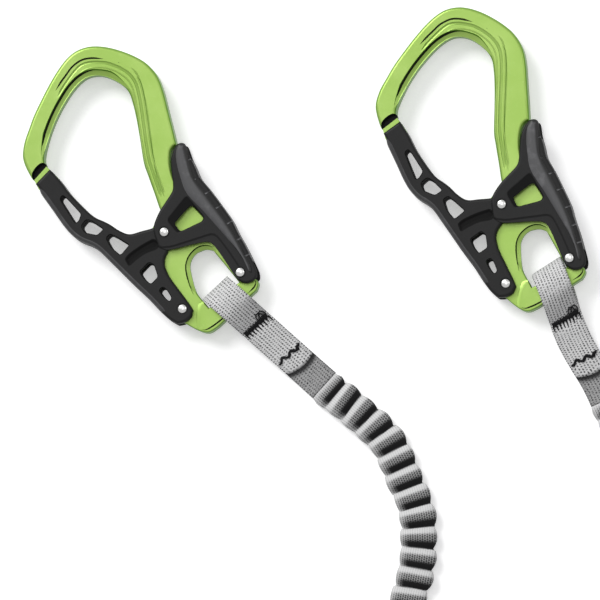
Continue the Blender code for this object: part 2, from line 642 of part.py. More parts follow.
def smooth_route(points, spacing):
    """Points at even steps along a smooth curve through the route's own points."""
    fine = []
    ends = [points[0]] + list(points) + [points[-1]]
    for p0, p1, p2, p3 in zip(ends, ends[1:], ends[2:], ends[3:]):
        for k in range(12):
            t = k / 12
            spot = []
            for a, b, c, d in zip(p0, p1, p2, p3):
                square = 2 * a - 5 * b + 4 * c - d
                cube = 3 * b - a - 3 * c + d
                spot.append((2 * b + (c - a) * t + square * t ** 2 + cube * t ** 3) / 2)
            fine.append(tuple(spot))
    fine.append(tuple(points[-1]))
    runs = [0.0]
    for a, b in zip(fine, fine[1:]):
        runs.append(runs[-1] + math.dist(a, b))
    count = max(round(runs[-1] / spacing), 2)
    even, k = [], 0
    for i in range(count + 1):
        want = runs[-1] * i / count
        while k < len(runs) - 2 and runs[k + 1] < want:
            k += 1
        t = (want - runs[k]) / (runs[k + 1] - runs[k])
        even.append(tuple(a + (b - a) * t for a, b in zip(fine[k], fine[k + 1])))
    return even, runs[-1]


def ring_points(route, index, width, height, centre_height, forward=0.0):
    """One elliptical ring, square to the route at a point of it or a little forward of it."""
    before = Vector(route[max(index - 1, 0)])
    after = Vector(route[min(index + 1, len(route) - 1)])
    along = (after - before).normalized()
    sideways = Vector((-along.y, along.x))
    ring = []
    for k in range(SLEEVE_SIDES):
        angle = math.tau * (k + 0.5) / SLEEVE_SIDES
        share = 1 / math.cos(math.pi / SLEEVE_SIDES)
        x = math.cos(angle) * width / 2 * share
        z = math.sin(angle) * height / 2 * share
        spot = Vector(route[index]) + sideways * x + along * forward
        ring.append((spot.x, spot.y, centre_height + z))
    return ring


def loft(name, rings, inner_rings, material):
    """A tube through rings of unlike size. With inner rings it has a bore, or else closed ends."""
    bm = bmesh.new()

    def wall(loops):
        made = [[bm.verts.new(spot) for spot in ring] for ring in loops]
        for low, high in zip(made, made[1:]):
            for k in range(SLEEVE_SIDES):
                j = (k + 1) % SLEEVE_SIDES
                bm.faces.new((low[k], low[j], high[j], high[k]))
        return made

    outer = wall(rings)
    if inner_rings:
        inner = wall(inner_rings)
        for a, b in ((outer[0], inner[0]), (outer[-1], inner[-1])):
            for k in range(SLEEVE_SIDES):
                j = (k + 1) % SLEEVE_SIDES
                bm.faces.new((a[k], a[j], b[j], b[k]))
    else:
        bm.faces.new(outer[0])
        bm.faces.new(outer[-1])
    return as_object(name, bm, material)


def make_sleeve(side, route):
    """The ribbed sleeve with its bore, and the flat elastic core that lies in the bore."""
    rib_route, length = smooth_route(route, RIB_PITCH / 2)
    last = len(rib_route) - 1
    rings = []
    for i in range(last + 1):
        if i < 3 or i > last - 3:
            width, height = SLEEVE_END_WIDTH, SLEEVE_END_HEIGHT
        elif i % 2:
            width, height = SLEEVE_WIDTH, SLEEVE_HEIGHT
        else:
            width, height = VALLEY_WIDTH, VALLEY_HEIGHT
        centre_height = sleeve_height(i, last)
        height = min(height, 2 * (centre_height - FLOOR_GAP))
        rings.append(ring_points(rib_route, i, width, height, centre_height))
    bore_route, _ = smooth_route(route, length / BORE_RINGS)
    bore_last = len(bore_route) - 1
    bores, cores = [], []
    for i in range(bore_last + 1):
        height = sleeve_height(i * last / bore_last, last)
        bores.append(ring_points(bore_route, i, BORE_WIDTH, BORE_HEIGHT, height))
        inset = {0: CORE_INSET, bore_last: -CORE_INSET}.get(i, 0.0)
        cores.append(ring_points(bore_route, i, CORE_WIDTH, CORE_HEIGHT, height, inset))
    loft(side + "_sleeve", rings, bores, grey_webbing)
    loft(side + "_elastic_core", cores, None, elastic_rubber)
    print(side, "sleeve length, mm", round(length * 1000, 1), "ribs", (last - 5) // 2)


def sleeve_height(index, last):
    """The height of the sleeve's middle, which drops to the flat straps at both ends."""
    flat = FLOOR_GAP + SLEEVE_END_HEIGHT / 2
    full = FLOOR_GAP + SLEEVE_HEIGHT / 2
    share = min(max(min(index, last - index) - 1, 0) / 4, 1)
    return flat + (full - flat) * share


# Energy absorber

def make_absorber():
    centre = POUCH_PLACE
    half_length, half_width = POUCH_LENGTH / 2, POUCH_WIDTH / 2
    corners = [(-half_length, -half_width), (half_length, -half_width), (half_length, half_width),
               (-half_length, half_width)]
    box = [(centre[0] + x, centre[1] + y) for x, y in corners]
    pouch = plate("absorber_pouch", [box], FLOOR_GAP, POUCH_HEIGHT, pouch_fabric, POUCH_CHAMFER)
    room = plate("room", [grown(box, -POUCH_WALL)], POUCH_WALL, POUCH_HEIGHT - POUCH_WALL, pouch_fabric,
                 POUCH_CHAMFER)
    combined(pouch, room, "DIFFERENCE")
    arm_half = ARM_SPACING / 2 + STRAP_WIDTH / 2 + SLIT_MARGIN
    tie_half = TIE_WIDTH / 2 + SLIT_MARGIN
    low_tab = TAB_HEIGHT - STRAP_THICKNESS / 2 - SLIT_MARGIN
    high_tab = TAB_HEIGHT + STRAP_THICKNESS / 2 + SLIT_MARGIN
    low_tie = TIE_LOW - TIE_THICKNESS / 2 - SLIT_MARGIN / 2
    high_tie = TIE_HIGH + TIE_THICKNESS / 2 + SLIT_MARGIN / 2
    slits = ((1, arm_half, low_tab, high_tab), (-1, tie_half, low_tie, high_tie))
    for way, half, low, high in slits:
        near = centre[0] + way * (half_length - POUCH_CHAMFER * 2)
        far = centre[0] + way * (half_length + OVERRUN)
        slit = [(near, centre[1] - half), (far, centre[1] - half),
                (far, centre[1] + half), (near, centre[1] + half)]
        combined(pouch, plate("slit", [slit], low, high, pouch_fabric), "DIFFERENCE")

    frame = (centre, (1, 0), (0, 1))
    path = [(-ABSORBER_TAIL, FIRST_LAYER)]
    tie_side_end = ABSORBER_HALF_RUN * 2 - TIE_START - LAYER_PITCH * 3
    for layer in range(ABSORBER_LAYERS - 1):
        way = 1 if layer % 2 == 0 else -1
        height = FIRST_LAYER + layer * LAYER_PITCH
        end = ABSORBER_HALF_RUN if way > 0 else -tie_side_end
        for k in range(FOLD_STEPS + 1):
            angle = math.pi * k / FOLD_STEPS
            path.append((end + way * math.sin(angle) * LAYER_PITCH / 2,
                         height + LAYER_PITCH / 2 * (1 - math.cos(angle))))
    path.append((ABSORBER_TAIL, FIRST_LAYER + (ABSORBER_LAYERS - 1) * LAYER_PITCH))
    strap("absorber_webbing", path, ABSORBER_THICKNESS, ABSORBER_WIDTH, frame, grey_webbing)

    floor = FLOOR_GAP + TIE_THICKNESS / 2
    turn_centre = floor + TIE_LOOP_RADIUS
    top = turn_centre + TIE_LOOP_RADIUS
    mouth = -half_length - SLIT_MARGIN
    foot = -half_length - TIE_SLOPE_LENGTH
    lower = [(-TIE_START, TIE_LOW), (mouth, TIE_LOW), ((foot - half_length) / 2, (TIE_LOW + floor) / 2),
             (foot, floor)]
    bend = []
    for k in range(TIE_BEND_STEPS + 1):
        angle = math.pi * k / TIE_BEND_STEPS
        bend.append((-TIE_LOOP_END - TIE_LOOP_RADIUS * math.sin(angle),
                     turn_centre - TIE_LOOP_RADIUS * math.cos(angle)))
    upper = [(-TIE_LOOP_END * along, top * up) for along, up in TIE_UPPER_SHARES]
    upper += [(mouth, TIE_HIGH), (-TIE_START, TIE_HIGH)]
    strap("tie_in_loop", lower + bend + upper, TIE_THICKNESS, TIE_WIDTH, frame, grey_webbing)
    tack_height = TIE_HIGH + TIE_THICKNESS / 2 + STRAP_GAP + TACK_THICKNESS / 2
    tack = [(-TIE_TACK_AT - TACK_LENGTH / 2, tack_height), (-TIE_TACK_AT + TACK_LENGTH / 2, tack_height)]
    strap("tie_in_tack", tack, TACK_THICKNESS, TACK_WIDTH, frame, dark_thread)


def make_end_tab(side, way):
    """The flat sewn end of one arm, which goes into the pouch over the absorber's top layer."""
    centre = (POUCH_PLACE[0], POUCH_PLACE[1] + way * ARM_SPACING / 2)
    frame = (centre, (1, 0), (0, 1))
    floor = FLOOR_GAP + SLEEVE_END_HEIGHT / 2
    half_length = POUCH_LENGTH / 2
    start = SLEEVE_END_X - LAYER_CLEARANCE - POUCH_PLACE[0]
    slope, rise = start - half_length, TAB_HEIGHT - floor
    path = [(start, floor)] + [(start - slope * along, floor + rise * up) for along, up in END_TAB_SHARES]
    path.append((TAB_END, TAB_HEIGHT))
    strap(side + "_end_tab", path, STRAP_THICKNESS, STRAP_WIDTH, frame, grey_webbing)
    height = TAB_HEIGHT + STRAP_THICKNESS / 2 + STRAP_GAP + TACK_THICKNESS / 2
    middle = (TAB_END + ABSORBER_HALF_RUN) / 2
    tack = [(middle - TACK_LENGTH / 2, height), (middle + TACK_LENGTH / 2, height)]
    strap(side + "_end_tack", tack, TACK_THICKNESS, TACK_WIDTH, frame, dark_thread)
    return (SLEEVE_END_X, centre[1])


def make_arm(side, bar_place, turn_deg, angle_deg, route, way):
    frame = strap_frame(bar_place, turn_deg, angle_deg)
    make_eye_strap(side, frame)
    reach = EYE_STRAP_LENGTH + SLEEVE_START_GAP
    start = (bar_place[0] + frame[1][0] * reach, bar_place[1] + frame[1][1] * reach)
    straight = (start[0] + frame[1][0] * SLEEVE_WIDTH / 2, start[1] + frame[1][1] * SLEEVE_WIDTH / 2)
    end = make_end_tab(side, way)
    make_sleeve(side, [start, straight] + route + [end])


make_carabiner("left", LEFT_BAR_PLACE, LEFT_TURN_DEG)
make_carabiner("right", RIGHT_BAR_PLACE, RIGHT_TURN_DEG)
make_absorber()
make_arm("left", LEFT_BAR_PLACE, LEFT_TURN_DEG, LEFT_STRAP_ANGLE_DEG, LEFT_ROUTE, 1)
make_arm("right", RIGHT_BAR_PLACE, RIGHT_TURN_DEG, RIGHT_STRAP_ANGLE_DEG, RIGHT_ROUTE, -1)


# Origin: the middle of the lowest face of the box round everything but the two sleeves and their cores

def solid_corners():
    bpy.context.view_layer.update()
    for obj in lanyard.objects:
        free_cord = obj.name.endswith("_sleeve") or obj.name.endswith("_elastic_core")
        if obj.type == "MESH" and not free_cord:
            for vert in obj.data.vertices:
                yield obj.matrix_world @ vert.co


corners = list(solid_corners())
low = Vector([min(corner[axis] for corner in corners) for axis in range(3)])
high = Vector([max(corner[axis] for corner in corners) for axis in range(3)])
shift = Vector(((low.x + high.x) / 2, (low.y + high.y) / 2, low.z))
for obj in lanyard.objects:
    if obj.parent is None:
        obj.location = Vector(obj.location) - shift
bpy.context.view_layer.update()
print("origin moved by, m", [round(value, 6) for value in shift])
for obj in lanyard.objects:
    if obj.type == "EMPTY":
        print(obj.name, [round(value, 6) for value in obj.matrix_world.translation])
print("triangles", sum(len(face.vertices) - 2 for obj in lanyard.objects if obj.type == "MESH"
                       for face in obj.data.polygons))
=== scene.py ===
import math

import bmesh
import bpy
from mathutils import Matrix, Quaternion, Vector


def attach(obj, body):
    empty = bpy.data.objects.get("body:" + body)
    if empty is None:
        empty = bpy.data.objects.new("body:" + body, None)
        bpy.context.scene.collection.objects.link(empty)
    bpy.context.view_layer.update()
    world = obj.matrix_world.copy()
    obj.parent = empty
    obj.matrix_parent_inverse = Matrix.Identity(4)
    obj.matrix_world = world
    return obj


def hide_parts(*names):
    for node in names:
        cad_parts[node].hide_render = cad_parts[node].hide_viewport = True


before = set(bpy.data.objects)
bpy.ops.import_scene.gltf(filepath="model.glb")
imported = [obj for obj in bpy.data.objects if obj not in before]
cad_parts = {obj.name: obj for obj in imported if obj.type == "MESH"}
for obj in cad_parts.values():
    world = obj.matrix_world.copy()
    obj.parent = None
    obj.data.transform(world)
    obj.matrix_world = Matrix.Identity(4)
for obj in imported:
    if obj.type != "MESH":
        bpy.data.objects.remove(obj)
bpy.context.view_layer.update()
print("frame loaded,", len(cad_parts), "nodes")

mm = 0.001

# View, light and floor
picture = {
    "pixel": 0.5 * mm,  # on the carabiners' middle plane
    "middle": (-0.000552, 0.115056, 0.00815),
    "lean": (0.124, -0.116, 1.0),  # from the object towards the camera
    "roll": 0.16,  # degrees
    "aim": (-0.00015, 0.00034, 0.0),  # from the middle to where the camera looks
    "lens": 900.0,
    "sensor": 36.0,
    "farthest": 20.0,
    "seen": 0.2968,  # width of the picture at the middle, m
}


def linked(name, data):
    obj = bpy.data.objects.new(name, data)
    bpy.context.scene.collection.objects.link(obj)
    return obj


def meshFrom(name, bm):
    mesh = bpy.data.meshes.new(name)
    bm.to_mesh(mesh)
    bm.free()
    return mesh


def built(name, bm):
    return linked(name, meshFrom(name, bm))


def cleaned(bm, reach):
    bmesh.ops.remove_doubles(bm, verts=bm.verts[:], dist=reach)
    bmesh.ops.recalc_face_normals(bm, faces=bm.faces[:])


def finalMesh(obj):
    return bpy.data.meshes.new_from_object(obj.evaluated_get(bpy.context.evaluated_depsgraph_get()))


camera = linked("pictureCamera", bpy.data.cameras.new("pictureCamera"))
bpy.context.scene.camera = camera
camera.data.lens = picture["lens"]
camera.data.sensor_width = picture["sensor"]
camera.data.sensor_fit = "HORIZONTAL"
camera.data.clip_end = picture["farthest"]
towardsCamera = Vector(picture["lean"]).normalized()
reach = picture["seen"] * picture["lens"] / picture["sensor"]
camera.rotation_mode = "QUATERNION"
rolled = Quaternion(towardsCamera, math.radians(picture["roll"]))
camera.rotation_quaternion = rolled @ Vector((0, 0, 1)).rotation_difference(towardsCamera)
camera.location = Vector(picture["middle"]) + Vector(picture["aim"]) + towardsCamera * reach
print("camera set,", round(reach, 2), "m away")


# Shader writing
class Wire:
    # one output of a material's nodes, so that shader maths reads as an expression
    def __init__(self, graph, socket):
        self.graph = graph
        self.socket = socket

    def maths(self, operation, *others):
        return self.graph.node("ShaderNodeMath", {"operation": operation}, [self, *others])

    def __add__(self, other):
        return self.maths("ADD", other)

    def __sub__(self, other):
        return self.maths("SUBTRACT", other)

    def __rsub__(self, other):
        return self.graph.node("ShaderNodeMath", {"operation": "SUBTRACT"}, [other, self])

    def __mul__(self, other):
        return self.maths("MULTIPLY", other)

    def __truediv__(self, other):
        return self.maths("DIVIDE", other)

    def __pow__(self, other):
        return self.maths("POWER", other)

    __radd__ = __add__
    __rmul__ = __mul__

    def sine(self):
        return self.maths("SINE")

    def floor(self):
        return self.maths("FLOOR")

    def size(self):
        return self.maths("ABSOLUTE")

    def within(self, low, high, toLow=0.0, toHigh=1.0, kind="SMOOTHSTEP"):
        values = [self, low, high, toLow, toHigh]
        return self.graph.node("ShaderNodeMapRange", {"interpolation_type": kind}, values)

    def limited(self):
        return self.within(0.0, 1.0, kind="LINEAR")


class Graph:
    def __init__(self, name):
        self.material = bpy.data.materials.new(name)
        self.material.use_nodes = True
        self.tree = self.material.node_tree
        self.shader = self.tree.nodes["Principled BSDF"]
        self.output = self.tree.nodes["Material Output"]

    def node(self, kind, settings=None, values=(), output=0):
        made = self.tree.nodes.new(kind)
        for key, value in (settings or {}).items():
            setattr(made, key, value)
        for key, value in values.items() if isinstance(values, dict) else enumerate(values):
            self.feed(made.inputs[key], value)
        return Wire(self, made.outputs[output])

    def feed(self, socket, value):
        if isinstance(value, Wire):
            self.tree.links.new(value.socket, socket)
        elif isinstance(value, tuple) and socket.type == "RGBA":
            socket.default_value = (*value, 1.0)
        else:
            socket.default_value = value

    def place(self, output="Object"):
        return self.node("ShaderNodeTexCoord", output=output)

    def parts(self, where, axes):
        return [self.node("ShaderNodeSeparateXYZ", values=[where], output=axis) for axis in axes]

    def onMap(self, name):
        # the two directions of one of the piece's own maps
        return self.parts(self.node("ShaderNodeUVMap", {"uv_map": name}), "XY")

    def noise(self, where, scale, detail=2.0, roughness=0.5):
        values = {"Vector": where, "Scale": scale, "Detail": detail, "Roughness": roughness}
        return self.node("ShaderNodeTexNoise", values=values)

    def blend(self, share, low, high):
        return self.node("ShaderNodeMix", {"data_type": "RGBA"}, {0: share, 6: low, 7: high}, output=2)

    def bump(self, height, distance, strength):
        values = {"Strength": strength, "Distance": distance, "Height": height}
        return self.node("ShaderNodeBump", values=values)

    def finish(self, colour, roughness, normal=None, metallic=0.0, specular=0.5, sheen=0.0):
        values = {"Base Color": colour, "Roughness": roughness, "Metallic": metallic}
        values.update({"Specular IOR Level": specular, "Sheen Weight": sheen})
        if normal:
            values["Normal"] = normal
        for key, value in values.items():
            self.feed(self.shader.inputs[key], value)
        return self.material


def linear(*parts):
    # screen colour from 0 to 255 to the shader's own values
    return tuple((p / 255 / 12.92) if p < 11 else ((p / 255 + 0.055) / 1.055) ** 2.4 for p in parts)


def grey(value):
    return linear(value, value, value)


# Floor, lamps and world
studio = {
    "floorSize": 6.0,
    "floorColour": (0.80, 0.80, 0.80),
    "floorGlow": 0.44,
    "white": (1.0, 1.0, 1.0),
    "worldColour": (0.27, 0.27, 0.275),
    "lampDistance": 6.0,
    "lamps": {
        "keyLamp": {"from": (-0.70, 0.78, 1.0), "power": 300.0, "size": 3.0},
        "fillLamp": {"from": (0.1, 0.3, 1.5), "power": 50.0, "size": 3.0},
        "sideLamp": {"from": (1.0, 0.35, 0.75), "power": 45.0, "size": 2.0},
    },
}


def makeFloor():
    bm = bmesh.new()
    bmesh.ops.create_grid(bm, x_segments=1, y_segments=1, size=studio["floorSize"] / 2)
    floor = built("floor", bm)
    paper = Graph("whitePaper")
    paper.tree.nodes.remove(paper.shader)
    matt = paper.node("ShaderNodeBsdfDiffuse", values={"Color": studio["floorColour"]})
    shine = {"Color": studio["white"], "Strength": studio["floorGlow"]}
    glow = paper.node("ShaderNodeEmission", values=shine)
    seen = paper.node("ShaderNodeAddShader", values=[matt, glow])
    kinds = ("Camera", "Glossy", "Transmission")
    rays = [paper.node("ShaderNodeLightPath", output=f"Is {kind} Ray") for kind in kinds]
    mixed = paper.node("ShaderNodeMixShader", values=[rays[0] + rays[1] + rays[2], matt, seen])
    paper.tree.links.new(mixed.socket, paper.output.inputs["Surface"])
    floor.data.materials.append(paper.material)


def makeLamp(name, look):
    lamp = bpy.data.lights.new(name, "AREA")
    lamp.energy = look["power"]
    lamp.size = look["size"]
    lamp.shape = "SQUARE"
    obj = linked(name, lamp)
    offset = Vector(look["from"]).normalized() * studio["lampDistance"]
    obj.location = Vector(picture["middle"]) + offset
    obj.rotation_mode = "QUATERNION"
    obj.rotation_quaternion = Vector((0, 0, 1)).rotation_difference(offset)


def makeWorld():
    # white to the camera and in reflections, and dimmer as a light
    world = bpy.data.worlds.new("studioWorld")
    bpy.context.scene.world = world
    world.use_nodes = True
    tree = world.node_tree
    tree.nodes.clear()
    mix = tree.nodes.new("ShaderNodeMixShader")
    for k, colour in ((1, studio["worldColour"]), (2, studio["white"])):
        light = tree.nodes.new("ShaderNodeBackground")
        light.inputs["Color"].default_value = (*colour, 1.0)
        tree.links.new(light.outputs[0], mix.inputs[k])
    paths = tree.nodes.new("ShaderNodeLightPath")
    share = paths.outputs["Is Camera Ray"]
    for kind in ("Glossy", "Transmission"):
        total = tree.nodes.new("ShaderNodeMath")
        tree.links.new(share, total.inputs[0])
        tree.links.new(paths.outputs[f"Is {kind} Ray"], total.inputs[1])
        share = total.outputs[0]
    tree.links.new(share, mix.inputs[0])
    out = tree.nodes.new("ShaderNodeOutputWorld")
    tree.links.new(mix.outputs[0], out.inputs["Surface"])


makeFloor()
for name, look in studio["lamps"].items():
    makeLamp(name, look)
makeWorld()
bpy.context.scene.view_settings.view_transform = "Standard"
print("studio built")


# Finishes
def makeGreenAluminium():
    g = Graph("greenAnodisedAluminium")
    where = g.place()
    blotch = g.noise(where, 45.0, 3.0)
    grain = g.noise(where, 2600.0, 2.0, 0.6)
    # upward faces pale green and sideways walls a darker green, a painted shade where the walls turn away
    # from the light
    up, = g.parts(g.place("Normal"), "Z")
    face = g.blend(blotch.within(0.35, 0.7), linear(138, 169, 80), linear(148, 177, 91))
    scuffs = g.noise(where, 380.0, 5.0, 0.7).within(0.56, 0.74)
    face = g.blend(scuffs * 0.2, face, linear(170, 194, 122))
    colour = g.blend(up.size().within(0.55, 0.97), linear(92, 140, 26), face)
    roughness = 0.27 + grain * 0.12 + scuffs * 0.06
    return g.finish(colour, roughness, g.bump(grain, 0.04 * mm, 0.35), 0.42, 0.25)


def makePlastic(name, shade, specular, edge=None):
    g = Graph(name)
    where = g.place()
    spark = g.noise(where, 1900.0, 2.0, 0.7)
    wear = g.noise(where, 160.0, 4.0, 0.6)
    dark, light = (linear(value, value, value * 1.02) for value in (shade, shade * 1.3))
    colour = g.blend(wear.within(0.5, 0.75), dark, light)
    if edge:
        # painted shade: darker where the surface falls away towards the grip's side
        rise, lean = g.parts(g.place("Normal"), "ZX")
        colour = g.blend((rise.size() - lean * 0.5).within(0.72, 1.05), grey(edge), colour)
    return g.finish(colour, 0.40 + wear * 0.12, g.bump(spark, 0.05 * mm, 0.35), specular=specular)


def makePlain(name, colour, roughness):
    g = Graph(name)
    mottled = g.noise(g.place(), 700.0)
    return g.finish(g.blend(mottled, tuple(c * 0.8 for c in colour), colour), roughness, specular=0.1)


def makeSteel(name, shade, roughness):
    g = Graph(name)
    brushed = g.noise(g.place(), 900.0)
    return g.finish((shade, shade, shade * 0.985), roughness + brushed * 0.06, metallic=1.0)


weaves = {
    "strap": {
        "column": 1.62 * mm, "gap": 0.95, "dash": 1.2 * mm, "yarn": 0.54 * mm, "depth": 1.0, "edge": 7.3 * mm,
    },
    "absorber": {
        "column": 2.1 * mm, "gap": 0.6, "dash": 1.7 * mm, "yarn": 0.7 * mm, "depth": 0.8, "edge": 12.6 * mm,
    },
}
# places along the eye strap: the lip over its tail, and the run near where it comes off the bar that gets
# painted shade
eyeMarks = {
    "tail": 16.3 * mm,
    "bulge": 2 * mm,
    "halfWidth": 8.5 * mm,
    "bar": 98 * mm,
    "shadedRun": (1.5 * mm, 6.5 * mm),
}


def makeWebbing(name, light, dark, size, marks=None):
    # woven strap on its own map, in metres: light warp yarns along it, and between their columns
    # the dark dashes where the weft shows
    g = Graph(name)
    across, along = g.onMap("along")
    where = g.place()
    patches = g.noise(where, 230.0, 3.0)
    drift = g.noise(where, 900.0)
    column = (across + (drift - 0.5) * 0.5 * mm) / size["column"]
    parity = (column + 0.5).floor() * 0.5
    gap = (column * math.pi).sine().size().within(size["gap"], size["gap"] * 0.35)
    run = along + (patches - 0.5) * 3.0 * mm + (drift - 0.5) * 0.9 * mm
    dash = ((run / size["dash"] + parity) * math.tau).sine()
    if marks:
        # painted shade on the run near the bar: longer dark dashes there
        barShade = (along - marks["bar"]).size().within(*marks["shadedRun"], 1.0, 0.0)
        barShade = barShade * (across / (2 * marks["halfWidth"])).within(-0.5, 0.5, 0.4, 1.0, "LINEAR")
        dash = dash + barShade * 0.4
    dash = dash.within(-0.35, 0.25)
    fine = (across / size["yarn"] * math.pi).sine().size()
    rows = (along / size["dash"] * math.tau * 2).sine() * 0.5 + 0.5
    fuzz = g.noise(where, 3200.0, 2.0, 0.7)
    dashes = gap * dash * patches.within(0.3, 0.6, 0.6, 1.0)
    shade = fine.within(0.0, 0.5, 0.9, 1.0) - rows * 0.04 + (fuzz - 0.5) * 0.4 + (patches - 0.5) * 0.2
    border = (across.size() - size["edge"]).size().within(0.0, 0.35 * mm, 1.0, 0.0) * dash
    shade = (shade - dashes * size["depth"] - border * 0.5).limited()
    if marks:
        # the tail is darker, and close under the lip it carries a painted shadow of the lip
        rounding = marks["bulge"] * (1.0 - (across / marks["halfWidth"]) ** 2.0)
        under = (marks["tail"] - rounding) - along
        speckle = g.noise(where, 2300.0, 2.0, 0.7).within(0.3, 0.7, -0.8, 0.8)
        shade = (shade + speckle * under.within(0.0, 0.6 * mm) * 0.5).limited()
        shade = shade * under.within(-0.3 * mm, 0.3 * mm, 1.0, 0.5)
        shade = shade * under.within(-0.3 * mm, 0.1 * mm, 1.0, 0.12)
        # the last factor is the painted shade near the bar
        shade = shade * under.within(0.8 * mm, 3.6 * mm, 1.0, 8.3) * (1.0 - barShade * 0.3)
    height = fine * 0.25 - dashes * 0.8 + fuzz * 0.2
    return g.finish(g.blend(shade, dark, light), 0.82, g.bump(height, 0.2 * mm, 0.7), sheen=0.12)


def makeSleeveKnit():
    # gathered tubular webbing: columns along the cord; below each crest the darker weft shows and painted
    # shade falls on the lee side, and the crevices are painted black as shade
    g = Graph("sleeveKnit")
    across, along = g.onMap("along")
    low, lee = g.onMap("rib")
    column = across / (1.2 * mm)
    line = (column * math.pi).sine().size().within(0.62, 0.0)
    dash = (((along / (1.12 * mm)) + (column + 0.5).floor() * 0.5) * math.tau).sine().within(-0.4, 0.5)
    fuzz = g.noise(g.place(), 3200.0, 2.0, 0.7)
    # the lee side is darker, partly the weft showing and partly painted shade, and the crevice (low) is
    # painted black as shade
    shade = 1.0 - line * (lee * 0.55 + 0.2) - dash * (lee * 0.32 + 0.05) - lee * 0.42 + (fuzz - 0.5) * 0.1
    colour = g.blend(shade.limited() * (1.0 - low), linear(8, 8, 9), grey(212))
    height = 1.0 - line * 0.8 - dash * 0.25 + fuzz * 0.2
    return g.finish(colour, 0.82, g.bump(height, 0.22 * mm, 0.8), specular=0.2, sheen=0.05)


def makeThread():
    g = Graph("blackThread")
    twist = g.noise(g.place(), 2400.0, 2.0, 0.7)
    colour = g.blend(twist.within(0.4, 0.7), linear(16, 16, 17), linear(38, 38, 40))
    return g.finish(colour, 0.85, g.bump(twist, 0.2 * mm, 0.6), specular=0.12)


def makeRubber():
    g = Graph("elasticRubber")
    fine = g.noise(g.place(), 1200.0, 3.0)
    colour = g.blend(fine.within(0.35, 0.7), linear(196, 186, 158), linear(216, 208, 182))
    return g.finish(colour, 0.6, g.bump(fine, 0.1 * mm, 0.5))


def makePouchFabric():
    # coarse nylon: a basket weave on the pouch's own sides
    g = Graph("pouchFabric")
    where = g.place()
    x, y, z = g.parts(where, "XYZ")
    run, rise = ((part + z * 0.5) / (1.1 * mm) for part in (x, y))
    weave = (run * math.pi).sine() * (rise * math.pi).sine()
    height = weave * 0.5 + 0.5 + g.noise(where, 2500.0, 2.0, 0.7) * 0.3
    colour = g.blend(height.within(0.2, 1.1), linear(24, 25, 27), linear(66, 68, 72))
    return g.finish(colour, 0.8, g.bump(height, 0.2 * mm, 0.7), sheen=0.1)


greenAluminium = makeGreenAluminium()
blackPlastic = makePlastic("blackPlastic", 17, 0.18)
# the palm band's plastic: the black plastic made lighter as a painted sheen, with painted shade on its slopes
palmPlasticPaintedLight = makePlastic("palmPlasticPaintedLight", 72, 0.3, 20)
# the cover's outer rail: the black plastic made lighter as a painted highlight
railPlasticPaintedHighlight = makePlastic("railPlasticPaintedHighlight", 52, 0.3)
# the grip notches' plastic: lighter, a painted highlight on their edges
notchPlasticPaintedHighlight = makePlastic("notchPlasticPaintedHighlight", 104, 0.3)
shadowPlastic = makePlain("shadowPlastic", grey(13), 0.7)
pipingTape = makePlain("pipingTape", linear(104, 106, 110), 0.7)
# dark green for lines in grooves and along rims: painted shade in the grooves, and painted reflection of dark
# surroundings along the inner wall and the rims
shadowGreen = makePlain("shadowGreen", linear(26, 34, 12), 0.6)
polishedSteel = makeSteel("polishedSteel", 0.5, 0.22)
springSteel = makeSteel("springSteel", 0.5, 0.25)
strapLight, strapDark = grey(212), linear(24, 24, 26)
greyWebbing = makeWebbing("greyWebbing", strapLight, strapDark, weaves["strap"])
eyeWebbing = makeWebbing("eyeWebbing", strapLight, strapDark, weaves["strap"], eyeMarks)
sleeveKnit = makeSleeveKnit()
foldLight, foldDark = linear(176, 178, 182), linear(50, 52, 58)
absorberWebbing = makeWebbing("absorberWebbing", foldLight, foldDark, weaves["absorber"])
blackThread = makeThread()
elasticRubber = makeRubber()
pouchFabric = makePouchFabric()
print("finishes made")


# Shared makers
def clamped(value):
    return min(max(value, 0.0), 1.0)


def angles(whole, steps):
    return [whole * k / steps for k in range(steps + 1)]


def onCurve(a, b, c, d, t):
    # a smooth curve from b to c, with a and d as its neighbours
    square, cube = 2 * a - 5 * b + 4 * c - d, 3 * b - a - 3 * c + d
    return (2 * b + (c - a) * t + square * t ** 2 + cube * t ** 3) / 2


def onBend(start, corner, end, t):
    return tuple(start * (1 - t) ** 2 + corner * (2 * t * (1 - t)) + end * t * t)


def smoothRoute(points, spacing):
    # even steps along a smooth curve through the route's own points
    fine = []
    points = [Vector(p) for p in points]
    ends = [points[0], *points, points[-1]]
    for a, b, c, d in zip(ends, ends[1:], ends[2:], ends[3:]):
        fine += [onCurve(a, b, c, d, k / 16) for k in range(16)]
    fine.append(points[-1])
    runs = [0.0]
    for a, b in zip(fine, fine[1:]):
        runs.append(runs[-1] + (b - a).length)
    count = max(round(runs[-1] / spacing), 2)
    even, k = [], 0
    for i in range(count + 1):
        want = runs[-1] * i / count
        while k < len(runs) - 2 and runs[k + 1] < want:
            k += 1
        even.append(fine[k].lerp(fine[k + 1], (want - runs[k]) / (runs[k + 1] - runs[k])))
    return even, runs[-1]


def alongRoute(spots):
    # each spot of a route with the way ahead and the way to its left
    last = len(spots) - 1
    for i, spot in enumerate(spots):
        ahead = (spots[min(i + 1, last)] - spots[max(i - 1, 0)]).normalized()
        yield i, spot, ahead, Vector((-ahead.y, ahead.x))


def addMesh(name, mesh, material, body, nodes):
    obj = linked(name, mesh)
    mesh.materials.clear()
    mesh.materials.append(material)
    mesh.polygons.foreach_set("use_smooth", [True] * len(mesh.polygons))
    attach(obj, body)
    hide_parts(*nodes)
    return obj


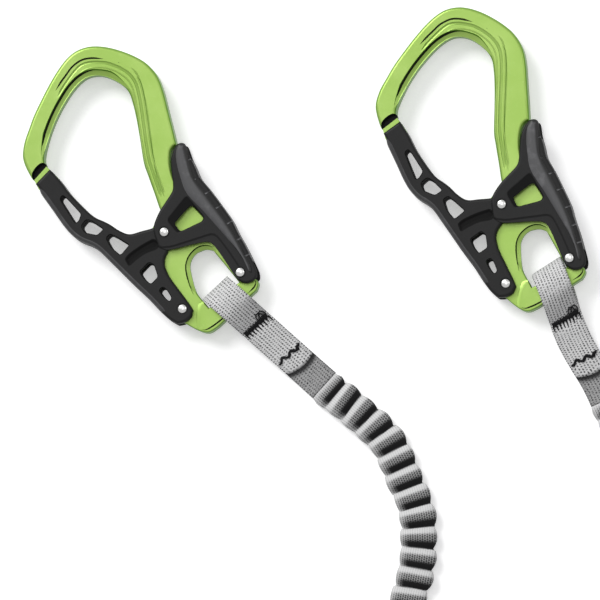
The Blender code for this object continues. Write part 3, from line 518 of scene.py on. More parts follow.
def tubeAlong(stations, around):
    # a closed tube: each station is a function of the way round, from 0 to 1, that gives a point
    # and its place on each map
    bm = bmesh.new()
    count = len(stations)
    bmesh.ops.create_grid(bm, x_segments=around, y_segments=count - 1, size=1.0, calc_uvs=False)
    layer = bm.loops.layers.uv.new("along")
    ribs = bm.loops.layers.uv.new("rib") if len(stations[0](0.0)) > 2 else None
    spots = {}
    for vert in bm.verts:
        i = round((vert.co.x + 1) / 2 * around)
        j = round((vert.co.y + 1) / 2 * (count - 1))
        spots[vert] = stations[j](i / around)
    for face in bm.faces:
        for loop in face.loops:
            loop[layer].uv = spots[loop.vert][1]
            if ribs:
                loop[ribs].uv = spots[loop.vert][2]
    for vert, spot in spots.items():
        vert.co = spot[0]
    bmesh.ops.remove_doubles(bm, verts=bm.verts[:], dist=1e-6)
    caps = bmesh.ops.holes_fill(bm, edges=[e for e in bm.edges if e.is_boundary], sides=0)
    for face in caps["faces"]:
        for loop in face.loops:
            loop[layer].uv = spots[loop.vert][1] if loop.vert in spots else (0.0, 0.0)
    bmesh.ops.recalc_face_normals(bm, faces=bm.faces[:])
    return bm


def ovalSection(t, width, height, squareness):
    # a point of a rounded section at t of the way round, as width and height offsets
    angle = math.tau * t
    c, s = math.cos(angle), math.sin(angle)
    across, up = (math.copysign(abs(part) ** squareness, part) for part in (c, s))
    return across * width / 2, up * height / 2


# Arms: routes on the surface, as the solids have them
arms = {
    "left": {
        "bar": (-0.035052, 0.114356),
        "turn": 0.0,
        "strapAngle": -41.5,
        "lipSkew": 8.0,
        "sway": 0.0,
        "route": [
            (0.0305, -0.0565), (0.0388, -0.0642), (0.0446, -0.0721), (0.0491, -0.0804), (0.0531, -0.0895),
            (0.0564, -0.0984), (0.0589, -0.1076), (0.0600, -0.1180), (0.0592, -0.1280), (0.0573, -0.1375),
            (0.0553, -0.1470), (0.0525, -0.1630), (0.0520, -0.1810), (0.0550, -0.2000), (0.0630, -0.2180),
            (0.0770, -0.2330), (0.0950, -0.2430), (0.1160, -0.2510), (0.1360, -0.2630), (0.1480, -0.2830),
            (0.1480, -0.3060), (0.1360, -0.3250), (0.1190, -0.3343),
        ],
        "tabSide": 1,
    },
    "right": {
        "bar": (0.126048, 0.121956),
        "turn": -10.45,
        "strapAngle": -65.5,
        "lipSkew": 0.0,
        "sway": -2.4 * mm,
        "route": [
            (0.1620, -0.0715), (0.1690, -0.0860), (0.1775, -0.1060), (0.1865, -0.1300), (0.1945, -0.1580),
            (0.2005, -0.1900), (0.2040, -0.2220), (0.2050, -0.2550), (0.2010, -0.2880), (0.1910, -0.3170),
            (0.1720, -0.3410), (0.1460, -0.3550), (0.1190, -0.3580),
        ],
        "tabSide": -1,
    },
}
routeShift = Vector((-0.000552, 0.115056))  # from the routes' own origin to the frame's
strapSizes = {
    "thickness": 1.9 * mm,
    "width": 17.0 * mm,
    "gap": 0.3 * mm,
    "barHeight": 8.15 * mm,
    "barAngle": 43.2,
    "loopHalfHeight": 7.0 * mm,
    "loopHalfLength": 10.1 * mm,
    "length": 61.4 * mm,
    "lip": 47.3 * mm,
    "floorGap": 0.05 * mm,
}
sleeveSizes = {
    "pitch": 10.1 * mm,
    "firstCrest": 1.6 * mm,
    "crestWidth": 18.5 * mm,
    "valleyWidth": 15.4 * mm,
    "crestHeight": 8.3 * mm,
    "valleyHeight": 2.7 * mm,
    "crestAt": 0.42,  # share of a rib's pitch from its crevice to its crest
    "squareness": 0.72,
    "leeFrom": 0.28,  # shares of the pitch where the darker weft and the painted lee shade begin, and where the painted crevice shade starts
    "creviceFrom": 0.61,
    "endHeight": 4.6 * mm,
    "startGap": 0.7 * mm,
    "straight": 9.3 * mm,  # from the start to where the sleeve begins to bend
    "endX": 0.097,
    "pouchCentre": (-0.000552, -0.231444),
    "armSpacing": 23.0 * mm,
    "ringStep": 0.6 * mm,
    "sides": 48,
}
coreSizes = {
    "width": 10.4 * mm,
    "thickness": 1.8 * mm,
    "squareness": 0.55,
    "inset": 1.5 * mm,
    "step": 3.0 * mm,
    "sides": 20,
}


def runDirection(arm):
    angle = math.radians(arm["strapAngle"])
    return Vector((math.cos(angle), math.sin(angle)))


def sleeveRoute(arm):
    run = runDirection(arm)
    start = Vector(arm["bar"]) + run * (strapSizes["length"] + sleeveSizes["startGap"])
    centre = Vector(sleeveSizes["pouchCentre"])
    endY = centre.y + arm["tabSide"] * sleeveSizes["armSpacing"] / 2
    end = Vector((sleeveSizes["endX"] + routeShift.x, endY))
    bends = [Vector(p) + routeShift for p in arm["route"]]
    return [start, start + run * sleeveSizes["straight"], *bends, end]


def sleeveLift(s, length):
    # height of the sleeve's middle, which drops to the flat straps at both ends
    low = strapSizes["floorGap"] + sleeveSizes["endHeight"] / 2
    full = strapSizes["floorGap"] + sleeveSizes["crestHeight"] / 2
    share = clamped((min(s, length - s) - 2 * mm) / (9 * mm))
    return low + (full - low) * share * share * (3 - 2 * share)


def addCord(name, node, bm, material, spots, length):
    obj = addMesh(name, meshFrom(name, bm), material, "arms_and_absorber", [node])
    last = len(spots) - 1
    path = [(p.x, p.y, sleeveLift(length * i / last, length)) for i, p in enumerate(spots)]


def ribAt(s, a, z):
    # how far the sleeve stands out at a run along it and a share across it, and how deep the point lies in
    # the crevice and on the lee side, which set its painted shade
    skew = (0.03 * math.sin(s * 95 + 2.0) + 0.03 * math.sin(s * 41 + 3.0)) * a * z["crestWidth"]
    phase = (s + skew - z["firstCrest"]) / z["pitch"] + z["crestAt"]
    rib = math.floor(phase)
    f = phase - rib
    strength = 1.0 + 0.10 * math.sin(rib * 2.4 + 0.6) + 0.06 * math.sin(rib * 5.1)
    # each rib climbs quickly from its crevice to the crest, and falls away on its lee side
    # with a dark crevice between two ribs that closes towards the cord's left edge
    opened = clamped((a + 0.47) / 0.2)
    if f < z["crestAt"]:
        wave = math.sin(math.pi / 2 * f / z["crestAt"]) ** 0.62
        low = max(0.0, 1 - f / 0.04)
    else:
        down = (f - z["crestAt"]) / (1 - z["crestAt"])
        wave = math.cos(math.pi / 2 * min(1.0, down / 0.88)) ** 0.8
        low = clamped((f - z["creviceFrom"]) / 0.12)
    lee = clamped((f - z["leeFrom"]) / 0.14) * (0.35 + 0.65 * opened)
    return rib, wave * strength, low * opened, lee


def makeSleeve(side, arm):
    z = sleeveSizes
    spots, length = smoothRoute(sleeveRoute(arm), z["ringStep"])
    stations = []
    for i, spot, ahead, sideways in alongRoute(spots):
        s = length * i / (len(spots) - 1)
        lift = sleeveLift(s, length)

        def station(t, spot=spot, sideways=sideways, s=s, lift=lift):
            a, b = ovalSection(t, 1.0, 1.0, z["squareness"])
            rib, wave, low, lee = ribAt(s, a, z)
            fade = clamped((min(s, length - s) - 0.6 * mm) / (2.5 * mm))
            shape = 0.35 * (1 - fade) + wave * fade
            spread = shape if a > 0 else 0.45 + 0.55 * shape
            width = z["valleyWidth"] + (z["crestWidth"] - z["valleyWidth"]) * spread
            height = z["valleyHeight"] + (z["crestHeight"] - z["valleyHeight"]) * shape
            height = min(height, 2 * (lift - strapSizes["floorGap"]))
            roll = 0.5 * mm * math.sin(rib * 1.9) * fade  # ribs stand a little to one side
            place = spot + sideways * (a * width + roll)
            return (place.x, place.y, lift + b * height), (a * width, s), (low * fade, lee * fade)

        stations.append(station)
    bm = tubeAlong(stations, z["sides"])
    addCord(side + "RibbedSleeve", side + "_sleeve", bm, sleeveKnit, spots, length)
    print(side, "sleeve", round(length / mm, 1), "mm")


def makeElasticCore(side, arm):
    z = coreSizes
    spots, length = smoothRoute(sleeveRoute(arm), z["step"])
    last = len(spots) - 1
    stations = []
    for i, spot, ahead, sideways in alongRoute(spots):
        inset = {0: z["inset"], last: -z["inset"]}.get(i, 0.0)
        s = length * i / last

        def station(t, spot=spot + ahead * inset, sideways=sideways, s=s, lift=sleeveLift(s, length)):
            a, b = ovalSection(t, z["width"], z["thickness"], z["squareness"])
            place = spot + sideways * a
            return (place.x, place.y, lift + b), (a, s)

        stations.append(station)
    bm = tubeAlong(stations, z["sides"])
    addCord(side + "ElasticCore", side + "_elastic_core", bm, elasticRubber, spots, length)


for side, arm in arms.items():
    makeSleeve(side, arm)
    makeElasticCore(side, arm)
print("sleeves made")

# Carabiner shapes: outlines in pixels of the picture, y downwards, from the webbing bar's middle
carabiner = {
    "barPixel": (231.1, 301.5),
    "lockPin": (165.3, 232.6),
    "leverPivot": (241.6, 273.1),
    "gatePivot": (183.9, 308.9),
    "height": 8.15 * mm,  # of the middle plane above the floor
    "hookHalf": 5.5 * mm,
    "plateHalf": 2.5 * mm,
    "barHalf": 3.8 * mm,
    "coverHalf": 5.6 * mm,
    "coverInside": 4.3 * mm,
    "hollowHalf": 5.9 * mm,
    "armHalf": 6.9 * mm,
    "bandHalf": 7.9 * mm,
    "forkHalf": 2.8 * mm,
    "forkRadius": 47.3 * mm,
    "rivetHole": 1.75 * mm,  # radius, as the next two
    "pinHole": 1.4 * mm,
    "headSeat": 2.8 * mm,
    "squeeze": 7.0,  # degrees, and the gate's swing for it
    "swing": 20.0,
}
outlines = {
    "hook": [
        (32.6, 178.8), (31.2, 177.2), (28.2, 172), (25, 165.5), (22.8, 159), (22.3, 152), (24, 141),
        (28, 129), (33, 115), (40, 100), (47, 86), (56, 70.5), (65, 58.5), (74, 51), (85, 46.8), (96, 46),
        (108, 47.6), (120, 51), (132, 55.8), (143, 62), (151, 69.5), (157, 78), (162, 91), (167, 110),
        (172, 129), (176, 145), (171.5, 149.5), (170, 156), (170.5, 166), (174, 178), (181, 189),
        (180, 196), (171, 207), (164, 215), (160, 209), (155, 195), (148, 176), (143.5, 163),
        (139.5, 140), (136, 121), (132, 104), (127.5, 92), (119, 83.5), (108, 77.5), (98, 75), (88, 76),
        (80, 80.5), (72, 89), (64, 101), (56.5, 115), (50, 131), (45.6, 146), (43.6, 157), (44.2, 162),
        (45.3, 164.2), (44.4, 165.9), (33.8, 177.9),
    ],
    "plate": [
        (158, 203), (161, 211), (160.5, 219), (153, 226), (150.5, 235), (150.5, 246), (155, 252.5),
        (161, 256), (161.5, 264), (162.5, 276), (168, 286), (174, 296), (172.5, 303), (172.5, 311),
        (177, 318), (185, 322), (192, 326), (200, 330), (207, 332), (212, 331.3), (217, 328), (223, 323),
        (253, 294), (257, 290), (259, 284), (257, 279.5), (253, 277.5), (250, 274), (247, 268),
        (244, 261), (240, 254), (230, 245), (216, 231), (200, 213), (184, 196), (176, 190),
    ],
    "bar": [
        (204, 301), (210, 308.2), (239.5, 282.5), (243.5, 282.3), (249, 280.3), (254, 279.4),
        (258, 280.9), (258.9, 284), (257, 290), (253, 294), (223, 323), (217, 328), (212, 331.3),
        (207, 332), (201, 330.3), (197.5, 324), (197.5, 312), (199, 304),
    ],
    "eye": [
        (190, 265), (191, 272), (194, 284), (197, 292), (201, 297.5), (204, 301), (210, 308.2),
        (239.5, 282.5), (237, 279), (213, 250), (206, 249), (201, 250.5), (196, 253), (192, 258),
    ],
    "noseNotch": [
        (33.6, 181), (31.9, 176.4), (32.2, 172.6), (34.6, 168.4), (38, 164.7), (41.4, 162.6),
        (44.4, 162.8), (49, 164.5),
    ],
    "cover": [
        (35.5, 183.5), (49.5, 168.8), (60, 180), (70, 193), (80, 203.5), (90, 213), (97, 218), (104, 221),
        (111, 224.6), (120, 230.5), (130, 234), (142, 231), (153, 228), (158.5, 224.5), (165, 223.5),
        (171, 226.5), (174, 232), (173, 240), (169, 251), (166, 258), (165.5, 265), (168, 272),
        (172, 279), (181, 291), (190, 303), (194.5, 310), (193, 317), (187, 322), (179, 324),
        (171, 319.5), (162, 311.5), (150, 299), (136, 286), (115, 265.3), (100, 250.5), (92, 245),
        (82, 241), (73, 234.5), (65, 224.5), (55, 210), (46, 197),
    ],
    "tip": [(34, 179.5), (46, 166), (56, 175.5), (62, 186), (56, 199), (44.5, 194.5), (38.5, 188.5)],
    "windows": [
        [(60.5, 199), (63, 195), (68, 199.5), (81.5, 214), (79, 221), (76, 223)],
        [(82, 226), (87, 219.5), (92, 221), (104, 229), (98, 235), (86, 232.5)],
        [(107, 238), (111, 234), (117, 237), (130, 245), (121.5, 255), (112, 247)],
        [(141, 272), (150, 262.5), (155, 265), (159, 277), (152, 284), (145, 278)],
        [(160.5, 290.5), (164, 287), (168, 290), (173, 298), (171, 301.5), (164.5, 296)],
    ],
    "recess": [
        (127.5, 259.5), (131, 255), (143, 246.5), (154, 240.5), (160, 243), (157, 248), (146, 252.5),
        (136, 259.5), (130.5, 264.5),
    ],
    "outerRail": [
        (38, 184), (47, 196.5), (56.5, 209.5), (66.5, 223.5), (74.5, 232.5), (83, 238.5), (93, 242.5),
        (101.5, 248), (117, 263), (138, 283.5), (152, 296.5), (164, 309), (173, 316.5),
    ],
    "lever": [
        (176, 145.5), (180, 143.5), (183, 143.5), (186, 146), (190, 157), (195, 167), (200, 178),
        (210, 190), (222, 206), (232, 220), (238, 232), (246, 246), (253, 260), (258, 271),
        (258.5, 277.5), (255, 281.5), (248, 284), (241, 282), (235, 275), (225, 260), (218, 250),
        (213, 244.5), (208, 242.5), (196, 244.5), (180, 248.5), (168, 250.5), (159.5, 247.5),
        (154.5, 232), (155, 224), (160, 212), (167, 201), (172.5, 192), (173.3, 185), (172, 175),
        (171, 163), (172.5, 153),
    ],
    "leverHollow": [
        (140, 130), (205, 130), (204, 156), (189.5, 162), (195, 175), (203, 187), (216, 203), (226, 217),
        (233, 231), (241, 246), (248.5, 260.5), (263, 263), (264, 300), (140, 300),
    ],
    "leverWindow": [
        (187, 197), (190, 200), (205, 218), (204, 222), (181, 232.5), (178.5, 233), (168, 221),
    ],
    "wellFoot": [
        (190.5, 206.4), (195, 207), (204.3, 218.4), (203, 221.8), (183, 231.6), (180, 231), (175, 224),
    ],
    "leverBand": [
        (179, 144.6), (185.5, 145.2), (189.2, 160), (194.5, 178), (204.3, 191), (215.8, 206.3),
        (227.3, 221.8), (237.6, 238), (246.2, 255), (252, 265.5), (253.5, 274), (250.5, 273),
        (248.2, 266.6), (238.3, 251.7), (222.7, 233.3), (204.3, 212.7), (187, 194.3), (180.5, 178),
        (176.5, 163), (176, 152),
    ],
    "leverLow": [
        (157, 252), (159, 247.5), (172, 246.5), (184, 243), (200, 238), (212, 234.5), (218, 236.5),
        (226, 246), (234, 257), (240, 266), (243, 272), (238, 290), (200, 260), (170, 262),
    ],
}
grooves = {
    "topStep": [
        (54.7, 90.5), (60, 82), (65, 75), (70, 68), (75, 63.5), (80, 60.3), (85, 58.8), (92, 58.2),
        (102, 59),
    ],
    "rail": [
        (56, 99), (62, 88), (68, 79), (74, 71), (80, 65.5), (88, 62.8), (98, 62.4), (107, 63.5),
        (119, 68.2), (128.7, 74.8), (134.8, 83.3), (138.4, 95.4), (140.9, 108.8), (143.3, 124.5),
        (145, 136.6), (147, 148.7), (149.3, 160.9), (155.4, 179), (162.7, 199.6),
    ],
    "nearRidge": [
        (75, 77.5), (82, 71), (90, 68), (98, 67.4), (106, 68.4), (116, 72.2), (124.5, 78), (130.5, 85.6),
        (134.2, 96.8), (137, 110), (139.4, 125.5), (141.1, 137.6), (143.1, 149.6), (145.6, 162.2),
        (151.8, 180.4),
    ],
    "farRidge": [
        (133, 73.5), (138.6, 82), (142, 94.6), (144.5, 108), (146.9, 123.8), (148.7, 136), (150.7, 148.2),
        (153.2, 160), (159.5, 178), (166.4, 197.6),
    ],
    "barRamp": [(196.5, 336), (196.5, 322), (196.8, 310), (199.5, 301), (204, 293), (209, 286)],
    "eyeCove": [
        (222, 260), (214, 251), (206, 249), (199, 251), (192.6, 257.5), (190, 265), (191, 273),
        (194, 284), (197.5, 293), (203, 300),
    ],
    "eyeLine": [
        (214, 247), (206, 245), (197.5, 247.4), (189.6, 255.2), (186.4, 264.4), (187.2, 274),
        (190.4, 285.4), (194, 294),
    ],
    "cove": [
        (131, 100), (126, 89.5), (118, 82.3), (108, 76.6), (96, 74.6), (87, 75.6), (79, 80.2), (71, 88.6),
        (63, 100.8), (55.6, 115), (49.2, 131), (44.8, 146), (43, 158), (43.6, 168),
    ],
    "innerWall": [
        (99, 70.8), (93, 70.4), (87, 71.2), (77.6, 75.6), (68.2, 84.8), (59.8, 97.4), (51.8, 112.4),
        (45.2, 129), (41.2, 145), (39.8, 158),
    ],
    "dot": [(117.0, 62.6), (117.4, 62.9), (117.8, 63.2)],
    "barRim": [(203.5, 329.2), (207, 329.6), (211, 327.8), (217, 323.8), (223.5, 318.6), (229, 313.6)],
    "barEnd": [(255.6, 279), (256.6, 283), (255, 287), (252, 290.4), (248, 294)],
    "panel": [
        (128, 66.5), (135, 73), (140, 84), (144, 99), (147, 115), (149.6, 133), (153, 157), (159, 181.5),
        (166, 200),
    ],
}
bandSpine = [
    (181, 150), (184, 163), (189, 177), (197, 192), (208, 207), (219, 220), (229, 234), (238, 248),
    (245, 260), (249, 269),
]
grips = [(190, 160), (197, 179), (209, 192.5), (220, 207), (231.5, 222.5), (241, 239), (249.5, 255)]


def local(points):
    bx, by = carabiner["barPixel"]
    return [((x - bx) * picture["pixel"], (by - y) * picture["pixel"]) for x, y in points]


def placed(key):
    return local([carabiner[key]])[0]


def shape(name):
    # a smooth outline through every point, but for its sharp corners, which get a small radius
    sharp, radius, step = 38.0, 0.5 * mm, 1.3 * mm
    points = local(outlines[name])
    count = len(points)
    spots = [Vector(point) for point in points]
    corner = []
    for i in range(count):
        before, after = spots[i] - spots[i - 1], spots[(i + 1) % count] - spots[i]
        corner.append(math.degrees(before.angle(after)) > sharp)
    drawn = []
    for i in range(count):
        turns = corner[(i + 1) % count]
        a, b, c, d = (spots[(i + k) % count] for k in (-1, 0, 1, 2))
        length = (c - b).length
        steps = max(2, round(length / step))
        first = min(radius / length, 0.4) if corner[i] else 0.0
        last = 1 - min(radius / length, 0.4) if turns else 1.0
        for k in range(steps + turns):
            t = first + (last - first) * k / steps
            drawn.append(tuple(onCurve(b if corner[i] else a, b, c, c if turns else d, t)))
        if turns:
            # the corner's own arc, towards the next side's start
            start, end = Vector(drawn[-1]), c.lerp(d, min(radius / (d - c).length, 0.4))
            drawn += [onBend(start, c, end, k) for k in (0.25, 0.5, 0.75)]
    return drawn


def cornered(points, radius):
    # each corner rounded by about the radius, and the sides between them left straight
    rounded = []
    for i, point in enumerate(points):
        here, before, after = Vector(point), Vector(points[i - 1]), Vector(points[(i + 1) % len(points)])
        start = here.lerp(before, min(radius / (before - here).length, 0.45))
        end = here.lerp(after, min(radius / (after - here).length, 0.45))
        rounded += [onBend(start, here, end, k / 5) for k in range(6)]
    return rounded


def drawnIn(points, spine, share):
    # the outline drawn towards a line down its middle
    if not share:
        return points
    moved = []
    for point in points:
        here = Vector(point)
        best = None
        for a, b in zip(spine, spine[1:]):
            a, b = Vector(a), Vector(b)
            t = min(max((here - a).dot(b - a) / (b - a).length_squared, 0), 1)
            spot = a.lerp(b, t)
            if best is None or (spot - here).length < (best - here).length:
                best = spot
        moved.append(tuple(here.lerp(best, share)))
    return moved


def uncrossed(points):
    # where an outline crosses itself at a sharp corner, the loop is drawn together to the crossing
    count = len(points)
    for i in range(count):
        for apart in range(min(24, count // 3), 1, -1):
            a, b = Vector(points[i]), Vector(points[(i + 1) % count])
            c, d = Vector(points[(i + apart) % count]), Vector(points[(i + apart + 1) % count])
            first, second = b - a, d - c
            over = first.x * second.y - first.y * second.x
            if abs(over) < 1e-14:
                continue
            t = ((c.x - a.x) * second.y - (c.y - a.y) * second.x) / over
            u = ((c.x - a.x) * first.y - (c.y - a.y) * first.x) / over
            if 0 < t < 1 and 0 < u < 1:
                for k in range(1, apart + 1):
                    points[(i + k) % count] = tuple(a + first * t)
                break
    return points


def grown(points, distance):
    # the outline moved outwards, or inwards where distance is negative
    if not distance:
        return points
    area = sum(a[0] * b[1] - b[0] * a[1] for a, b in zip(points, points[1:] + points[:1]))
    side = 1 if area > 0 else -1
    moved = []
    for i, point in enumerate(points):
        here = Vector(point)
        before = (here - Vector(points[i - 1])).normalized()
        after = (Vector(points[(i + 1) % len(points)]) - here).normalized()
        out = Vector((before.y + after.y, -before.x - after.x)).normalized() * side
        moved.append(here + out * (distance / max(out.dot(Vector((after.y, -after.x)) * side), 0.6)))
    return uncrossed([tuple(spot) for spot in moved])


def profiled(outline, profile, material=None, spine=None):
    # a closed solid that follows the outline, moved out by each step's distance at its height,
    # and drawn in towards the spine by the step's share where it has one
    rings = []
    for distance, height, *share in profile:
        rings.append((drawnIn(grown(outline, distance), spine, share[0] if share else 0), height))
    return lofted(rings, material)


def lofted(rings, material=None, closed=False):
    # a solid from flat rings at their heights, closed with caps or round on itself
    bm = bmesh.new()
    loops = []
    for flat, height in rings:
        ring = [bm.verts.new((x, y, height)) for x, y in flat]
        loops.append([bm.edges.new(pair) for pair in zip(ring, ring[1:] + ring[:1])])
    for low, high in zip(loops, loops[1:] + (loops[:1] if closed else [])):
        bmesh.ops.bridge_loops(bm, edges=low + high)
    if not closed:
        bmesh.ops.contextual_create(bm, geom=loops[0])
        bmesh.ops.contextual_create(bm, geom=loops[-1])
    cleaned(bm, mm / 1000)
    obj = built("shape", bm)
    if material:
        obj.data.materials.append(material)
    return obj


def rims(low, high, radius, lowRadius=None, steps=3):
    # a solid's side from low to high with rounded rims
    lowRadius = radius if lowRadius is None else lowRadius
    turns = angles(math.pi / 2, steps)
    bottom = [(-lowRadius * (1 - math.sin(a)), low + lowRadius * (1 - math.cos(a))) for a in turns]
    top = [(-radius * (1 - math.sin(a)), high - radius * (1 - math.cos(a))) for a in turns[::-1]]
    return (bottom if lowRadius else bottom[:1]) + top


def flares(low, high, radius):
    # the same for a cutter, whose hole then has rounded rims
    over = 1.5 * mm
    turns = angles(math.pi / 2, 3)
    bottom = [(radius * (1 - math.sin(a)), low + radius * (1 - math.cos(a))) for a in turns]
    top = [(radius * (1 - math.sin(a)), high - radius * (1 - math.cos(a))) for a in turns[::-1]]
    return [(radius, low - over), *bottom, *top, (radius, high + over)]


def roundBar(centre, radius, low, high, sides=32):
    bm = bmesh.new()
    bmesh.ops.create_cone(bm, cap_ends=True, segments=sides, radius1=radius, radius2=radius, depth=high - low,
                          matrix=Matrix.Translation((centre[0], centre[1], (low + high) / 2)))
    return built("roundBar", bm)


def rodAlong(points, radius, taper=3.4):
    # a round rod along points, thin at its ends, for cutting a groove or for a thread
    curve = bpy.data.curves.new("rod", "CURVE")
    curve.dimensions = "3D"
    curve.bevel_depth = radius
    curve.bevel_resolution = 2
    curve.use_fill_caps = True
    line = curve.splines.new("POLY")
    line.points.add(len(points) - 1)
    for k, (point, spot) in enumerate(zip(line.points, points)):
        point.co = (*spot, 1)
        edge = min(k, len(points) - 1 - k)
        point.radius = min(1.0, 0.15 + edge * 0.85 / taper) if taper else 1.0
    guide = linked("rod", curve)
    mesh = finalMesh(guide)
    bpy.data.objects.remove(guide)
    bm = bmesh.new()
    bm.from_mesh(mesh)
    cleaned(bm, radius / 100)
    bm.to_mesh(mesh)
    bm.free()
    return linked("rod", mesh)


def joined(target, tool, operation="DIFFERENCE"):
    # worked at a thousand times the size, where the small steps are cut cleanly
    scale, merge = 1000, 0.0004
    target.data.transform(Matrix.Scale(scale, 4))
    tool.data.transform(Matrix.Scale(scale, 4))
    change = target.modifiers.new("change", "BOOLEAN")
    change.object = tool
    change.operation = operation
    change.solver = "EXACT"
    change.material_mode = "TRANSFER"
    mesh = finalMesh(target)
    target.modifiers.clear()
    old, target.data = target.data, mesh
    bpy.data.meshes.remove(old)
    bpy.data.objects.remove(tool)
    bm = bmesh.new()
    bm.from_mesh(mesh)
    bmesh.ops.remove_doubles(bm, verts=bm.verts[:], dist=merge)
    bmesh.ops.dissolve_degenerate(bm, edges=bm.edges[:], dist=merge)
    bmesh.ops.scale(bm, vec=(1 / scale,) * 3, verts=bm.verts[:])
    bm.to_mesh(mesh)
    bm.free()


def mirrored(obj):
    # the same shape on the other face
    bm = bmesh.new()
    bm.from_mesh(obj.data)
    bmesh.ops.scale(bm, vec=(1, 1, -1), verts=bm.verts[:])
    bmesh.ops.recalc_face_normals(bm, faces=bm.faces[:])
    twin = linked("twin", obj.data.copy())
    bm.to_mesh(twin.data)
    bm.free()
    return twin


def joinedTwice(target, tool, operation="DIFFERENCE"):
    # on both faces
    twin = mirrored(tool)
    joined(target, tool, operation)
    joined(target, twin, operation)


def joinedRounds(target, centre, radius, low, high, sides=32, operation="DIFFERENCE"):
    # a round bar from low to high on both faces
    for side in (-1, 1):
        inner, outer = sorted((side * low, side * high))
        joined(target, roundBar(centre, radius, inner, outer, sides), operation)


def groove(body, key, radius, height, finish=None, taper=3.4, operation="DIFFERENCE"):
    spots, _ = smoothRoute([(x, y, height) for x, y in local(grooves[key])], 1.2 * mm)
    rod = rodAlong(spots, radius * mm, taper)
    if finish:
        rod.data.materials.append(finish)
    joinedTwice(body, rod, operation)


def placeOnSides(shapeObject, name, node, bodyPart, material, angle=32):
    # the finished shape, once on each arm's carabiner
    mesh = shapeObject.data
    mesh.polygons.foreach_set("use_smooth", [True] * len(mesh.polygons))
    mesh.set_sharp_from_angle(angle=math.radians(angle))
    for side, arm in arms.items():
        copy = mesh.copy()
        turn = Matrix.Rotation(math.radians(arm["turn"]), 4, "Z")
        copy.transform(Matrix.Translation((*arm["bar"], carabiner["height"])) @ turn)
        own = list(copy.materials) or [None]
        finishes = [material, *dict.fromkeys(finish for finish in own if finish and finish != material)]
        indices = [finishes.index(own[face.material_index] or material) for face in copy.polygons]
        obj = addMesh(side + name, copy, material, side + bodyPart, [side + node])
        for finish in finishes[1:]:
            copy.materials.append(finish)
        copy.polygons.foreach_set("material_index", indices)
        weighted = obj.modifiers.new("evenNormals", "WEIGHTED_NORMAL")
        weighted.keep_sharp = True
    bpy.data.objects.remove(shapeObject)


def makeBody():
    c = carabiner
    hook, plateFace, barFace = c["hookHalf"], c["plateHalf"], c["barHalf"]
    body = profiled(shape("hook"), rims(-hook, hook, 1.7 * mm, steps=4), greenAluminium)
    plate = profiled(shape("plate"), rims(-plateFace, plateFace, 0.6 * mm))
    joined(plate, profiled(shape("eye"), flares(-plateFace, plateFace, 0.9 * mm)))
    joined(body, plate, "UNION")
    # a hair outside the plate's own rim, so that no two walls coincide
    bar = profiled(grown(shape("bar"), 0.06 * mm), rims(-barFace, barFace, 0.8 * mm, steps=4))
    joined(body, bar, "UNION")
    # the nose's notch takes the black plastic on its walls: painted shade in the deep slot
    joined(body, profiled(shape("noseNotch"), [(0, -1.5 * mm), (0, 8 * mm)], blackPlastic))
    groove(body, "topStep", 0.5, hook + 0.05 * mm, shadowGreen)
    groove(body, "rail", 0.85, hook + 0.25 * mm)
    groove(body, "panel", 0.5, hook + 0.15 * mm)
    for key in ("nearRidge", "farRidge"):
        groove(body, key, 0.5, hook - 0.25 * mm, operation="UNION")
    groove(body, "cove", 3.2, hook + 0.9 * mm, taper=14)
    groove(body, "innerWall", 0.8, 4.45 * mm, shadowGreen, 9)
    groove(body, "barRamp", 6, 8.55 * mm, taper=0)
    groove(body, "eyeCove", 2.4, plateFace + 1.1 * mm, taper=8)
    groove(body, "eyeLine", 0.45, plateFace + 0.02 * mm, shadowGreen, 9)
    for key in ("barRim", "barEnd"):
        groove(body, key, 0.45, barFace + 0.05 * mm, shadowGreen)
    groove(body, "dot", 0.4, hook + 0.05 * mm, shadowGreen)
    joined(body, slotCutter(pinPath(False), c["pinHole"], 9 * mm))
    for key in ("gatePivot", "leverPivot"):
        joined(body, roundBar(placed(key), c["rivetHole"], -9 * mm, 9 * mm))
    print("carabiner body", len(body.data.polygons), "faces")
    placeOnSides(body, "CarabinerBody", "_carabiner_body", "_carabiner", greenAluminium)


def merged(objects):
    # several shapes as one, to cut them all at once
    bm = bmesh.new()
    for obj in objects:
        bm.from_mesh(obj.data)
        bpy.data.objects.remove(obj)
    return built("merged", bm)


def turnedAbout(point, centre, degrees):
    spot = Vector(point) - Vector(centre)
    spot.rotate(Matrix.Rotation(math.radians(degrees), 2))
    return tuple(Vector(centre) + spot)


def pinPath(inGate):
    # where the lock pin runs while the lever is squeezed, in the body's frame or the gate's
    c = carabiner
    path = []
    for k in range(5):
        squeeze = c["squeeze"] * k / 4
        spot = turnedAbout(placed("lockPin"), placed("leverPivot"), squeeze)
        swing = c["swing"] / c["squeeze"] * squeeze
        path.append(turnedAbout(spot, placed("gatePivot"), swing) if inGate else spot)
    return path


def slotCutter(path, radius, reach):
    first, last = Vector(path[0]), Vector(path[-1])
    ahead = math.atan2(last.y - first.y, last.x - first.x)
    outline = []
    for centre, start in ((last, ahead - math.pi / 2), (first, ahead + math.pi / 2)):
        for angle in angles(math.pi, 8):
            a = start + angle
            outline.append((centre.x + radius * math.cos(a), centre.y + radius * math.sin(a)))
    return profiled(outline, [(0, -reach), (0, reach)])


